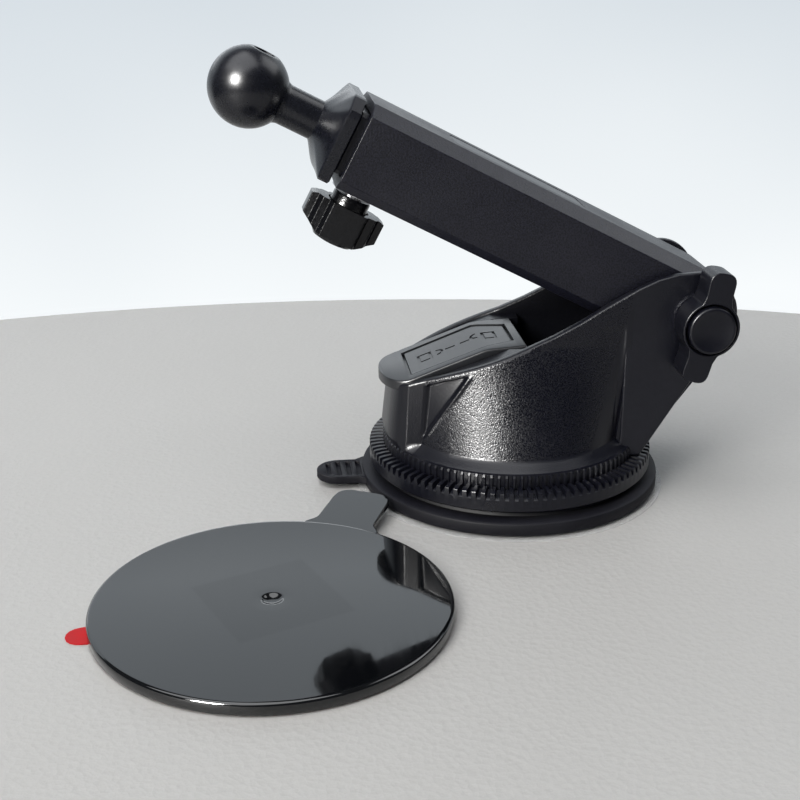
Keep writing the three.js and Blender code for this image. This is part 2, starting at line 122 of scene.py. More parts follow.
def shifted(form, x=0.0, y=0.0, z=0.0):
    return moved(form, lambda p: (p[0] + x, p[1] + y, p[2] + z))


def loft(rings, capStart=True, capEnd=True):
    # closed rings of equal length, joined by quads
    count = len(rings[0])
    points = [p for ring in rings for p in ring]
    faces = []
    for level in range(len(rings) - 1):
        a = level * count
        for i in range(count):
            j = (i + 1) % count
            faces.append([a + i, a + j, a + count + j, a + count + i])
    if capStart:
        faces.append(list(range(count))[::-1])
    if capEnd:
        last = (len(rings) - 1) * count
        faces.append([last + i for i in range(count)])
    return points, faces


def loopedLoft(rings):
    # rings that come back to the first one, like a tyre
    points, faces = loft(rings, False, False)
    count, last = len(rings[0]), (len(rings) - 1) * len(rings[0])
    for i in range(count):
        j = (i + 1) % count
        faces.append([last + i, last + j, j, i])
    return points, faces


def turned(profile, sides=96, closed=False):
    # profile of (radius, height) turned about Z; closed profiles make a ring
    angles = [tau * i / sides for i in range(sides)]
    rings = [[(r * math.cos(a), r * math.sin(a), z) for a in angles] for r, z in profile]
    return loopedLoft(rings) if closed else loft(rings)


def prism(outline, low, high):
    # a flat outline in x and y, between two heights
    return loft([[(x, y, low) for x, y in outline], [(x, y, high) for x, y in outline]])


def arc(cx, cy, radius, start, end, steps):
    angles = [start + (end - start) * i / steps for i in range(steps + 1)]
    return [(cx + radius * math.cos(a), cy + radius * math.sin(a)) for a in angles]


def roundedStep(radius, height, edge, steps=4):
    # the top outer edge of a turned profile, rounded: from the wall to the top face
    return [
        (radius - edge + edge * math.cos(a), height - edge + edge * math.sin(a))
        for a in [math.pi / 2 * i / steps for i in range(steps + 1)]
    ]


def filleted(corners, radius, steps=5):
    # a closed outline with each corner rounded; a corner may give its own radius as a third value
    out = []
    count = len(corners)
    for i in range(count):
        before, here, after = (Vector(corners[(i + k) % count][:2]) for k in (-1, 0, 1))
        r = corners[i][2] if len(corners[i]) > 2 else radius
        back, on = (before - here).normalized(), (after - here).normalized()
        half = back.angle(on) / 2
        if r <= 0 or half > math.pi / 2 - 0.01:
            out.append(tuple(here))
            continue
        reach = min(r / math.tan(half), (before - here).length * 0.49, (after - here).length * 0.49)
        start, end = here + back * reach, here + on * reach
        for k in range(steps + 1):
            t = k / steps
            out.append(tuple((1 - t) ** 2 * start + 2 * t * (1 - t) * here + t * t * end))
    return out


def swapYZ(form):
    # an outline drawn in x and z: its thickness runs along -Y
    return [(x, -z, y) for x, y, z in form[0]], form[1]


def makeObject(name, form):
    mesh = bpy.data.meshes.new(name)
    mesh.from_pydata([tuple(v * mm for v in p) for p in form[0]], [], form[1])
    build = bmesh.new()
    build.from_mesh(mesh)
    bmesh.ops.remove_doubles(build, verts=build.verts, dist=1e-6)
    bmesh.ops.dissolve_degenerate(build, edges=build.edges, dist=1e-7)
    bmesh.ops.recalc_face_normals(build, faces=build.faces)
    build.to_mesh(mesh)
    build.free()
    obj = bpy.data.objects.new(name, mesh)
    bpy.context.scene.collection.objects.link(obj)
    return obj


def shadeSmooth(obj, sharpAngle=32):
    for polygon in obj.data.polygons:
        polygon.use_smooth = True
    obj.data.set_sharp_from_angle(angle=math.radians(sharpAngle))


def roundEdges(obj, width, angle=32, segments=3):
    edges = obj.modifiers.new("roundEdges", "BEVEL")
    edges.width = width * mm
    edges.segments = segments
    edges.limit_method = "ANGLE"
    edges.angle_limit = math.radians(angle)
    edges.harden_normals = True
    edges.miter_outer = "MITER_ARC"


def applyModifiers(obj):
    graph = bpy.context.evaluated_depsgraph_get()
    made = bpy.data.meshes.new_from_object(obj.evaluated_get(graph))
    obj.modifiers.clear()
    obj.data = made


def combine(obj, tools, operation="DIFFERENCE"):
    # boolean with helper objects, which are then removed
    for tool in tools:
        change = obj.modifiers.new("combine", "BOOLEAN")
        change.operation = operation
        change.solver = "EXACT"
        change.object = tool
        applyModifiers(obj)
        bpy.data.objects.remove(tool)
    return obj


def makePiece(obj, body, material, replaced=(), smooth=32):
    obj.data.materials.clear()
    obj.data.materials.append(material)
    shadeSmooth(obj, smooth)
    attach(obj, body)
    if replaced:
        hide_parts(*replaced)
    return obj


# materials

def newMaterial(name):
    material = bpy.data.materials.new(name)
    material.use_nodes = True
    nodes = material.node_tree.nodes
    nodes.clear()
    shader = nodes.new("ShaderNodeBsdfPrincipled")
    output = nodes.new("ShaderNodeOutputMaterial")
    material.node_tree.links.new(shader.outputs["BSDF"], output.inputs["Surface"])
    return material, shader


class NodeBench:
    # short hands for wiring one material
    def __init__(self, material):
        self.nodes = material.node_tree.nodes
        self.links = material.node_tree.links
        self.where = self.nodes.new("ShaderNodeTexCoord").outputs["Object"]

    def noise(self, scale, detail=2.0, rough=0.5, stretch=None):
        made = self.nodes.new("ShaderNodeTexNoise")
        made.inputs["Scale"].default_value = scale
        made.inputs["Detail"].default_value = detail
        made.inputs["Roughness"].default_value = rough
        source = self.where
        if stretch:
            mapping = self.nodes.new("ShaderNodeMapping")
            mapping.inputs["Scale"].default_value = stretch
            self.links.new(source, mapping.inputs["Vector"])
            source = mapping.outputs["Vector"]
        self.links.new(source, made.inputs["Vector"])
        return made.outputs["Fac"]

    def cells(self, scale, feature="F1", randomness=1.0):
        made = self.nodes.new("ShaderNodeTexVoronoi")
        made.feature = feature
        made.inputs["Scale"].default_value = scale
        made.inputs["Randomness"].default_value = randomness
        self.links.new(self.where, made.inputs["Vector"])
        return made.outputs["Distance"]

    def span(self, value, low, high, fromLow=0.0, fromHigh=1.0):
        made = self.nodes.new("ShaderNodeMapRange")
        made.inputs["From Min"].default_value = fromLow
        made.inputs["From Max"].default_value = fromHigh
        made.inputs["To Min"].default_value = low
        made.inputs["To Max"].default_value = high
        self.links.new(value, made.inputs["Value"])
        return made.outputs["Result"]

    def math(self, kind, a, b):
        made = self.nodes.new("ShaderNodeMath")
        made.operation = kind
        for socket, value in zip(made.inputs, (a, b)):
            if isinstance(value, (int, float)):
                socket.default_value = value
            else:
                self.links.new(value, socket)
        return made.outputs["Value"]

    def tint(self, value, dark, light):
        made = self.nodes.new("ShaderNodeMix")
        made.data_type = "RGBA"
        made.inputs["A"].default_value = (*dark, 1)
        made.inputs["B"].default_value = (*light, 1)
        self.links.new(value, made.inputs["Factor"])
        return made.outputs["Result"]

    def edges(self, low=0.53, high=0.62):
        geometry = self.nodes.new("ShaderNodeNewGeometry")
        return self.span(geometry.outputs["Pointiness"], 0, 1, low, high)

    def attribute(self, name):
        made = self.nodes.new("ShaderNodeAttribute")
        made.attribute_name = name
        return made.outputs["Fac"]

    def bump(self, height, strength, distance, under=None):
        made = self.nodes.new("ShaderNodeBump")
        if isinstance(strength, float):
            made.inputs["Strength"].default_value = strength
        else:
            self.links.new(strength, made.inputs["Strength"])
        made.inputs["Distance"].default_value = distance * mm
        self.links.new(height, made.inputs["Height"])
        if under:
            self.links.new(under, made.inputs["Normal"])
        return made.outputs["Normal"]

    def plug(self, value, shader, socket):
        self.links.new(value, shader.inputs[socket])


def mouldedPlastic(name, look):
    # black moulded plastic: spark grain, slow gloss changes, faint dust and rubbed edges
    material, shader = newMaterial(name)
    bench = NodeBench(material)
    cloud = bench.noise(60, 3, 0.6)
    grain = bench.noise(look["grainScale"], 1.5, 0.6)
    rubbed = bench.math("MULTIPLY", bench.edges(), bench.noise(900, 2))
    flecks = bench.span(grain, -0.6, 1.2, 0.35, 0.65)
    shade = bench.math(
        "ADD", bench.math("MULTIPLY", cloud, 0.6), bench.math("MULTIPLY", rubbed, look["wear"]),
    )
    shade = bench.math("ADD", shade, bench.math("MULTIPLY", flecks, look.get("flecks", 0.1)))
    bench.plug(bench.tint(shade, look["dark"], look["light"]), shader, "Base Color")
    low, high = look["roughness"]
    mixed = bench.math("ADD", bench.math("MULTIPLY", cloud, 0.6), bench.math("MULTIPLY", grain, 0.4))
    bench.plug(bench.span(mixed, low, high, 0.3, 0.7), shader, "Roughness")
    fine = bench.bump(grain, look["bump"], look["depth"])
    wave = bench.bump(bench.noise(140, 1), 0.12, 0.05, fine)
    bench.plug(wave, shader, "Normal")
    shader.inputs["Specular IOR Level"].default_value = look.get("specular", 0.5)
    return material


plasticLooks = {
    "satin": {
        "dark": (0.002, 0.0023, 0.0065), "light": (0.0075, 0.0082, 0.0155), "roughness": (0.26, 0.38),
        "grainScale": 2600, "bump": 0.12, "depth": 0.02, "wear": 0.5, "specular": 0.28,
    },
    "lever": {
        "dark": (0.008, 0.009, 0.012), "light": (0.022, 0.024, 0.03), "roughness": (0.28, 0.38),
        "grainScale": 2600, "bump": 0.14, "depth": 0.03, "wear": 0.6, "specular": 0.55,
    },
    "grained": {
        "dark": (0.0018, 0.002, 0.007), "light": (0.0085, 0.0088, 0.019), "roughness": (0.34, 0.48),
        "grainScale": 2700, "bump": 0.9, "depth": 0.075, "wear": 0.7, "specular": 0.28, "flecks": 1.3,
    },
    "ballGloss": {
        "dark": (0.0028, 0.0034, 0.0075), "light": (0.0095, 0.0108, 0.018), "roughness": (0.24, 0.32),
        "grainScale": 1500, "bump": 0.05, "depth": 0.02, "wear": 0.4, "specular": 0.4,
    },
    "knobGloss": {
        "dark": (0.0018, 0.0018, 0.003), "light": (0.006, 0.0064, 0.009), "roughness": (0.14, 0.26),
        "grainScale": 2200, "bump": 0.6, "depth": 0.05, "wear": 0.8, "specular": 0.32, "flecks": 0.6,
    },
}


sparkLook = {
    "dark": (0.002, 0.0024, 0.0068), "light": (0.009, 0.0098, 0.0175), "speck": 3600, "crumbs": 3000,
    "roughness": (0.26, 0.32), "glitter": (-0.1, 0.12), "smoothExtra": 0.04, "bump": (0.3, 1.0),
    "depth": 0.085,
    "specular": 0.32,
}


def sparkGrainPlastic():
    # the housing: coarse glittering grain where the mesh's grain value is 1, finer elsewhere
    look = sparkLook
    material, shader = newMaterial("sparkGrain")
    bench = NodeBench(material)
    coarse = bench.attribute("grain")
    cloud = bench.noise(45, 3, 0.6)
    speck = bench.noise(look["speck"], 1.0, 0.5)
    crumbs = bench.cells(look["crumbs"])
    height = bench.math("ADD", bench.math("MULTIPLY", speck, 0.65), bench.math("MULTIPLY", crumbs, 0.45))
    rubbed = bench.math("MULTIPLY", bench.edges(0.52, 0.6), bench.noise(700, 2))
    shade = bench.math("ADD", bench.math("MULTIPLY", cloud, 0.5), bench.math("MULTIPLY", rubbed, 0.6))
    bench.plug(bench.tint(shade, look["dark"], look["light"]), shader, "Base Color")
    smooth = bench.span(coarse, look["smoothExtra"], 0.0)
    glitter = bench.math("MULTIPLY", bench.span(speck, *look["glitter"], 0.35, 0.65), coarse)
    rough = bench.math("ADD", bench.span(cloud, *look["roughness"], 0.3, 0.7), glitter)
    bench.plug(bench.math("ADD", rough, smooth), shader, "Roughness")
    bench.plug(bench.bump(height, bench.span(coarse, *look["bump"]), look["depth"]), shader, "Normal")
    shader.inputs["Specular IOR Level"].default_value = look["specular"]
    return material


discLook = {
    "dark": (0.0022, 0.0026, 0.0034), "light": (0.004, 0.0045, 0.0056), "roughness": (0.035, 0.12),
    "ripple": 28,
    "labelHalf": 11.5, "labelEdge": 0.4, "labelTurn": 0.4, "labelDull": 0.06, "coat": (0.3, 0.22),
    "coatRoughness": 0.03,
}


def labelSquare(bench):
    # 1 inside a faint square in the disc's middle, where a label once sat
    look = discLook
    centre = middleMm("adhesive_pad")
    spot = bench.nodes.new("ShaderNodeMapping")
    spot.vector_type = "TEXTURE"
    spot.inputs["Location"].default_value = (centre[0] * mm, centre[1] * mm, 0)
    spot.inputs["Rotation"].default_value = (0, 0, look["labelTurn"])
    bench.links.new(bench.where, spot.inputs["Vector"])
    parts = bench.nodes.new("ShaderNodeSeparateXYZ")
    bench.links.new(spot.outputs["Vector"], parts.inputs["Vector"])
    sides = [bench.math("ABSOLUTE", parts.outputs[axis], 0.0) for axis in ("X", "Y")]
    edge = (look["labelHalf"] + look["labelEdge"]) * mm
    return bench.span(bench.math("MAXIMUM", sides[0], sides[1]), 1.0, 0.0, look["labelHalf"] * mm, edge)


def glossPlastic():
    # the stick-on disc: piano gloss with a few hair scratches and a soft moulding ripple
    look = discLook
    material, shader = newMaterial("discGloss")
    bench = NodeBench(material)
    cloud = bench.noise(30, 3, 0.6)
    hairs = bench.noise(600, 4, 0.7, (1.0, 0.03, 1.0))
    bench.plug(bench.tint(cloud, look["dark"], look["light"]), shader, "Base Color")
    square = labelSquare(bench)
    rough = bench.span(bench.math("MULTIPLY", cloud, hairs), *look["roughness"], 0.15, 0.45)
    bench.plug(
        bench.math("ADD", rough, bench.math("MULTIPLY", square, look["labelDull"])), shader, "Roughness",
    )
    bench.plug(bench.bump(bench.noise(look["ripple"], 1), 0.05, 0.25), shader, "Normal")
    bench.plug(bench.span(square, *look["coat"]), shader, "Coat Weight")
    shader.inputs["Coat Roughness"].default_value = look["coatRoughness"]
    return material


rubberLook = {
    "dark": (0.0018, 0.0018, 0.005), "light": (0.017, 0.017, 0.026), "roughness": (0.48, 0.66),
    "specular": 0.15,
}


def softRubber():
    look = rubberLook
    material, shader = newMaterial("cupRubber")
    bench = NodeBench(material)
    cloud = bench.noise(55, 4, 0.65)
    dust = bench.noise(1500, 3, 0.7)
    shade = bench.math("MULTIPLY", cloud, dust)
    bench.plug(bench.tint(shade, look["dark"], look["light"]), shader, "Base Color")
    bench.plug(bench.span(cloud, *look["roughness"], 0.3, 0.7), shader, "Roughness")
    bench.plug(bench.bump(dust, 0.2, 0.03), shader, "Normal")
    shader.inputs["Specular IOR Level"].default_value = look["specular"]
    return material


def clearFilm():
    material, shader = newMaterial("clearFilm")
    bench = NodeBench(material)
    haze = bench.noise(180, 3, 0.6)
    bench.plug(bench.tint(haze, (0.93, 0.94, 0.94), (0.99, 0.99, 0.99)), shader, "Base Color")
    bench.plug(bench.span(haze, 0.04, 0.16, 0.3, 0.7), shader, "Roughness")
    bench.plug(bench.bump(bench.noise(90, 2), 0.2, 0.05), shader, "Normal")
    shader.inputs["IOR"].default_value = 1.45
    shader.inputs["Alpha"].default_value = 0.22  # mostly see-through
    return material


def metal(name, dark, light, roughness, stretch=(1, 1, 1)):
    material, shader = newMaterial(name)
    bench = NodeBench(material)
    lines = bench.noise(1800, 3, 0.6, stretch)
    cloud = bench.noise(200, 3, 0.6)
    bench.plug(bench.tint(bench.math("MULTIPLY", lines, cloud), dark, light), shader, "Base Color")
    bench.plug(bench.span(lines, roughness[0], roughness[1], 0.3, 0.7), shader, "Roughness")
    bench.plug(bench.bump(lines, 0.12, 0.02), shader, "Normal")
    shader.inputs["Metallic"].default_value = 1.0
    return material


def simplePlastic(name, dark, light, roughness, scale=900, bumpStrength=0.15, specular=0.5):
    material, shader = newMaterial(name)
    bench = NodeBench(material)
    cloud = bench.noise(scale, 3, 0.6)
    bench.plug(bench.tint(cloud, dark, light), shader, "Base Color")
    bench.plug(bench.span(cloud, roughness[0], roughness[1], 0.3, 0.7), shader, "Roughness")
    bench.plug(bench.bump(bench.noise(scale * 2, 2), bumpStrength, 0.03), shader, "Normal")
    shader.inputs["Specular IOR Level"].default_value = specular
    return material


finishes = {
    "satin": mouldedPlastic("satinBlack", plasticLooks["satin"]),
    "grained": mouldedPlastic("grainedBlack", plasticLooks["grained"]),
    "knobGloss": mouldedPlastic("knobGloss", plasticLooks["knobGloss"]),
    "ballGloss": mouldedPlastic("ballGloss", plasticLooks["ballGloss"]),
    "lever": mouldedPlastic("leverSatin", plasticLooks["lever"]),
    "spark": sparkGrainPlastic(),
    "disc": glossPlastic(),
    "rubber": softRubber(),
    "film": clearFilm(),
    "steel": metal("platedSteel", (0.42, 0.42, 0.44), (0.72, 0.72, 0.73), (0.22, 0.4)),
    "blackSteel": metal("blackenedSteel", (0.03, 0.03, 0.032), (0.12, 0.12, 0.125), (0.3, 0.48)),
    "brass": metal("turnedBrass", (0.55, 0.36, 0.14), (0.85, 0.62, 0.3), (0.22, 0.4)),
    "nylon": simplePlastic("naturalNylon", (0.55, 0.54, 0.49), (0.74, 0.73, 0.68), (0.4, 0.55)),
    "gel": simplePlastic("tackyGel", (0.03, 0.033, 0.036), (0.08, 0.085, 0.09), (0.12, 0.3), 300),
    "foam": simplePlastic("acrylicFoam", (0.02, 0.02, 0.02), (0.07, 0.07, 0.07), (0.8, 0.95), 2500, 0.5),
    "red": simplePlastic("redLiner", (0.5, 0.004, 0.008), (0.72, 0.015, 0.02), (0.4, 0.6), 350, 0.2, 0.12),
}
print("materials made:", len(finishes))


# the suction base

cupShape = {
    "sides": 144, "tabWidth": 10.0, "tabThick": 1.75, "tabTop": 3.0, "tabShift": 1.4, "tabRoot": -33.0,
    "tabNeck": -35.2,
    "tabFlare": 1.6, "slots": 4, "firstSlot": 2.7, "slotPitch": 2.3, "slotWidth": 1.05, "slotDepth": 0.75,
    "tabEdge": 0.28,
}
# turned profiles, radius and height: the sinking middle of the cup and the gel under it
domeProfile = [
    (0, 3.7), (10, 3.2), (20, 2.1), (30.0, 1.75), (30.2, 2.1), (30.2, 3.4), (29.9, 4.05), (29.7, 4.5),
    (29.5, 5.0),
    (28.9, 5.2), (12, 5.3), (10, 5.75), (0, 5.8),
]
gelProfile = [
    (0, 2.3), (10, 1.7), (20, 0.75), (30.6, 0.6), (31.0, 0.7), (31.05, 0.85), (30.7, 1.15), (20, 1.6),
    (10, 2.6),
    (0, 3.1),
]


def sinks(obj):
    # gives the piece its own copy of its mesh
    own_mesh(obj)


def makeCupMiddle():
    dome = makeObject("suctionCupDome", turned(domeProfile))
    makePiece(dome, "base", finishes["rubber"], [], 34)
    sinks(dome)
    gel = makeObject("gelPad", turned(gelProfile))
    makePiece(gel, "base", finishes["gel"], ["gel_layer"], 34)
    sinks(gel)


def makeCupTab():
    # pull tab with cross slots, growing out of the lip
    s = cupShape
    half, y, top, end = s["tabWidth"] / 2, s["tabShift"], s["tabTop"], boxMm("suction_cup")[0][0]
    outline = [(s["tabRoot"], y - half - s["tabFlare"]), (s["tabNeck"], y - half)]
    outline += arc(end + half, y, half, -math.pi / 2, -3 * math.pi / 2, 24)
    outline += [(s["tabNeck"], y + half), (s["tabRoot"], y + half + s["tabFlare"])]
    tab = makeObject("tab", prism(outline, top - s["tabThick"], top))
    slots = []
    for i in range(s["slots"]):
        x = end + s["firstSlot"] + i * s["slotPitch"]
        w, h = s["slotWidth"] / 2, half - (1.9 if i == 0 else 1.2)  # the slot by the round end is shorter
        plan = filleted([(x - w, y - h), (x + w, y - h), (x + w, y + h), (x - w, y + h)], 0.4)
        slots.append(makeObject("slot", prism(plan, top - s["slotDepth"], top + 1)))
    combine(tab, slots)
    combine(tab, [makeObject("dome", turned([(0, -1), (32.2, -1), (32.2, 6), (0, 6)], 64))])
    roundEdges(tab, s["tabEdge"], 40, 2)
    applyModifiers(tab)
    makePiece(tab, "base", finishes["rubber"])
    tab.name = "cupPullTab"


def makeCup():
    low, high = boxMm("suction_cup")
    r, foot = high[0], low[2]
    makeCupMiddle()
    lip = [
        (30.4, 1.7), (31.4, 0.9), (31.8, foot + 0.05), (32.3, foot), (33.0, foot + 0.05), (33.35, 0.5),
        (33.7, 0.75),
        (r, 1.05), (r, 3.1), (33.82, 3.35), (33.6, 3.5), (33.1, 3.62), (32.4, 3.7), (30.6, 3.8), (30.3, 3.75),
        (30.25, 3.3), (30.25, 2.2),
    ]
    cup = makeObject("suctionCupLip", turned(lip, cupShape["sides"], True))
    makeCupTab()
    return makePiece(cup, "base", finishes["rubber"], ["suction_cup"], 34)


springShape = {
    "radius": 7.4, "wire": 0.55, "low": 8.62, "high": 16.4, "turns": 3.5, "steps": 150, "sides": 12,
    "closed": 0.25,
}


def springRise(t):
    # share of the height at a share of the wire: slow at the closed ends
    half = lambda u: (0.5 + 0.5 * smoothStep(0.0, springShape["closed"], u)) * u
    return half(t) if t < 0.5 else 1 - half(1 - t)


def makeSpring():
    # coil that stretches between the stem's flange and the deck
    s = springShape
    tall = s["high"] - s["low"] - 2 * s["wire"]
    rings = []
    for i in range(s["steps"] + 1):
        t = i / s["steps"]
        turn = tau * s["turns"] * t
        out = Vector((math.cos(turn), math.sin(turn), 0))
        centre = out * s["radius"] + Vector((0, 0, s["low"] + s["wire"] + tall * springRise(t)))
        ring = []
        for k in range(s["sides"]):
            b = tau * k / s["sides"]
            ring.append(tuple(centre + s["wire"] * (out * math.cos(b) + Vector((0, 0, math.sin(b))))))
        rings.append(ring)
    spring = makeObject("returnCoil", loft(rings))
    spring.data.materials.append(finishes["steel"])
    shadeSmooth(spring, 50)
    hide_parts("return_spring")
    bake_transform(spring)


ringShape = {
    "teeth": 100, "toothWidth": 0.52, "toothDepth": 1.25, "innerRise": 0.2, "edge": 0.35, "inner": 28.75,
    "flank": 0.06, "landStart": 0.04, "gapEnd": 0.98, "gapBack": 0.55,
}


def makeToothedRing():
    low, high = boxMm("toothed_ring")
    outer, bottom, top = high[0], low[2], high[2]
    s = ringShape
    inner = s["inner"]
    # four columns to a tooth: two on the land, two in the gap, steep flanks between
    columns = (s["landStart"], s["toothWidth"] - s["flank"], s["toothWidth"] + s["flank"], s["gapEnd"])
    rings = []
    for tooth in range(s["teeth"]):
        for k, share in enumerate(columns):
            angle = tau * (tooth + share) / s["teeth"]
            inGap = k >= 2
            drop = s["toothDepth"] if inGap else 0.0
            back = s["gapBack"] if inGap else 0.0
            section = [
                (outer, bottom + 0.3), (outer, top - s["edge"] - drop), (
                    outer - 0.12 - back * 0.4, top - 0.1 - drop,
                ),
                (outer - s["edge"] - back, top - drop * 0.95), (
                    inner + 1.4, top + s["innerRise"] - drop * 0.8,
                ),
                (
                    inner + 0.25, top + s["innerRise"] - drop * 0.5,
                ), (inner, top - 0.2 - drop * 0.4), (inner, bottom + 0.2),
                (inner + 0.2, bottom), (outer - 0.3, bottom),
            ]
            rings.append([(r * math.cos(angle), r * math.sin(angle), z) for r, z in section])
    ring = makeObject("serratedRing", loopedLoft(rings))
    return makePiece(ring, "base", finishes["satin"], ["toothed_ring"], 28)


# housing

housingShape = {
    "foot": 8.3, "footRadius": 28.5, "bandFoot": 11.7, "bandTop": 14.0, "bandEase": 0.35, "bandRadius": 25.3,
    "shoulder": 36.0, "wall": 2.2, "rimEdge": 0.55, "deck": 19.0, "deckThick": 2.0, "cheek": 15.7,
    "cheekInner": 13.8,
    "groove": 20.9, "grooveDepth": 0.12, "shelfDepth": 0.22, "ribs": 112, "ribTop": 12.2, "ribOut": 0.42,
    "pocket": 10.9, "ledge": 34.5, "ledgeEnd": 4.0, "cheekFront": 21.8, "rows": 60, "plainSteps": 160,
    "facetSteps": 12, "noseSteps": 30, "smoothGrain": 0.15, "rimGrain": 0.2,
}
# three-cornered recess behind the front facet: upright on the left, slanting on the right
recessShape = {"depth": 0.8, "bead": 0.3, "low": 14.6, "underRim": 1.5, "rightFoot": -20.2, "lean": 10.0}
# upper plan of the near wall, from the flat cheek forward to the nose
upperPlan = [
    (22.9, -15.73), (20, -15.8), (16, -16.0), (10, -16.25), (4, -16.45), (-2, -16.5), (-7, -15.9),
    (-12, -14.7), (-16.5, -13.25), (-20.6, -11.9),
]
upperNose = [(-24.3, -10.6), (-25.7, -8.9), (-26.4, -5.5), (-26.6, 0)]
lowerNose = [(-25.4, -11.9), (-27.6, -9.6), (-28.8, -5.6), (-29.0, 0)]
rimLine = [
    (-30, 25.9), (-24, 27.6), (-18, 29.5), (-12, 31.6), (-6, 33.8), (0, 36.0), (6, 38.5), (11.5, 41.2),
    (15.8, 43.7), (20, 46.0), (24.2, 48.3), (28.4, 50.1), (32.7, 51.15), (37.6, 51.4),
]


def lineAt(line, x):
    for (x0, z0), (x1, z1) in zip(line, line[1:]):
        if x <= x1:
            t = max(0.0, (x - x0) / (x1 - x0))
            return z0 + (z1 - z0) * t
    return line[-1][1]


def smoothLine(points, t):
    # Catmull-Rom through the points, t from 0 to 1
    count = len(points) - 1
    place = min(max(t * count, 0), count - 1e-9)
    i = int(place)
    u = place - i
    get = lambda k: Vector(points[min(max(k, 0), count)])
    a, b, c, d = get(i - 1), get(i), get(i + 1), get(i + 2)
    return 0.5 * (
        (2 * b) + (c - a) * u + (2 * a - 5 * b + 4 * c - d) * u * u + (3 * b - a - 3 * c + d) * u ** 3
    )


def smoothStep(low, high, value):
    t = min(max((value - low) / (high - low), 0.0), 1.0)
    return t * t * (3 - 2 * t)


def onCircle(point, radius):
    return Vector((point.x, point.y)).normalized() * radius


def wallStations():
    # (upper plan, lower plan, foot plan) for the near half, rear to nose
    s = housingShape
    stations = []
    for i in range(8):  # the foot band runs on round until it goes under the cheek
        up = smoothLine(upperPlan, 0) + Vector((0.05 * (8 - i), 0))
        angle = math.radians(-28.5 - 6.0 * i / 8)
        lower = Vector((math.cos(angle), math.sin(angle)))
        low = lower * s["bandRadius"]
        stations.append((up, Vector((low.x, min(low.y, -15.2))), lower * s["footRadius"]))
    for i in range(s["plainSteps"] + 1):
        up = smoothLine(upperPlan, i / s["plainSteps"])
        stations.append((up, onCircle(up, s["bandRadius"]), onCircle(up, s["footRadius"])))
    lastUp, lastLow = stations[-1][0], stations[-1][1]
    firstUp, firstLow = Vector(upperNose[0]), Vector(lowerNose[0])
    for i in range(1, s["facetSteps"] + 1):  # the flat facet beside the nose
        t = i / s["facetSteps"]
        up, low = lastUp.lerp(firstUp, t), lastLow.lerp(firstLow, t)
        stations.append((up, low, onCircle(low, s["footRadius"])))
    for i in range(1, s["noseSteps"] + 1):  # the round nose
        up, low = (smoothLine(line, i / s["noseSteps"]) for line in (upperNose, lowerNose))
        stations.append((up, low, onCircle(low, s["footRadius"])))
    return stations


def outerPoint(station, z):
    # where the outer skin stands at a height
    up, low, foot = station
    s = housingShape
    if z >= s["bandTop"]:
        return low.lerp(up, min(1.0, (z - s["bandTop"]) / (s["shoulder"] - s["bandTop"])))
    if z >= s["bandFoot"]:
        share = (z - s["bandFoot"]) / (s["bandTop"] - s["bandFoot"])
        return foot.lerp(low, s["bandEase"] * smoothStep(0, 1, share) + (1 - s["bandEase"]) * share)
    return foot


def recessAt(x, z, rim):
    # how far in the recess goes here, and how much of the coarse grain is left
    s = recessShape
    top = rim - s["underRim"]
    right = s["rightFoot"] + s["lean"] * (z - s["low"]) / (rim - s["low"])
    depth = smoothStep(right - 0.1, right - 1.1, x) * smoothStep(-20.9, -19.3, x)
    depth *= smoothStep(top + 0.5, top - 0.2, z) * smoothStep(s["low"], s["low"] + 1.8, z)
    bead = s["bead"] * math.exp(-((x - right) / 0.55) ** 2)
    bead *= smoothStep(top + 0.3, top - 0.6, z) * smoothStep(15.0, 17.0, z)
    return s["depth"] * depth - bead, (1 - depth) * smoothStep(right - 0.3, right + 0.9, x)


def grooveAt(x, z):
    # soft upright groove where the flare meets the cheek, under a small shelf
    s = housingShape
    groove = s["grooveDepth"] * math.exp(-((x - s["groove"]) / 0.55) ** 2) * smoothStep(38.2, 36.5, z)
    shelf = s["shelfDepth"] * smoothStep(15.6, 17.6, x) * smoothStep(22.0, 21.5, x)
    shelf *= smoothStep(40.0, 39.6, z) * smoothStep(27.0, 38.0, z)
    return groove + shelf


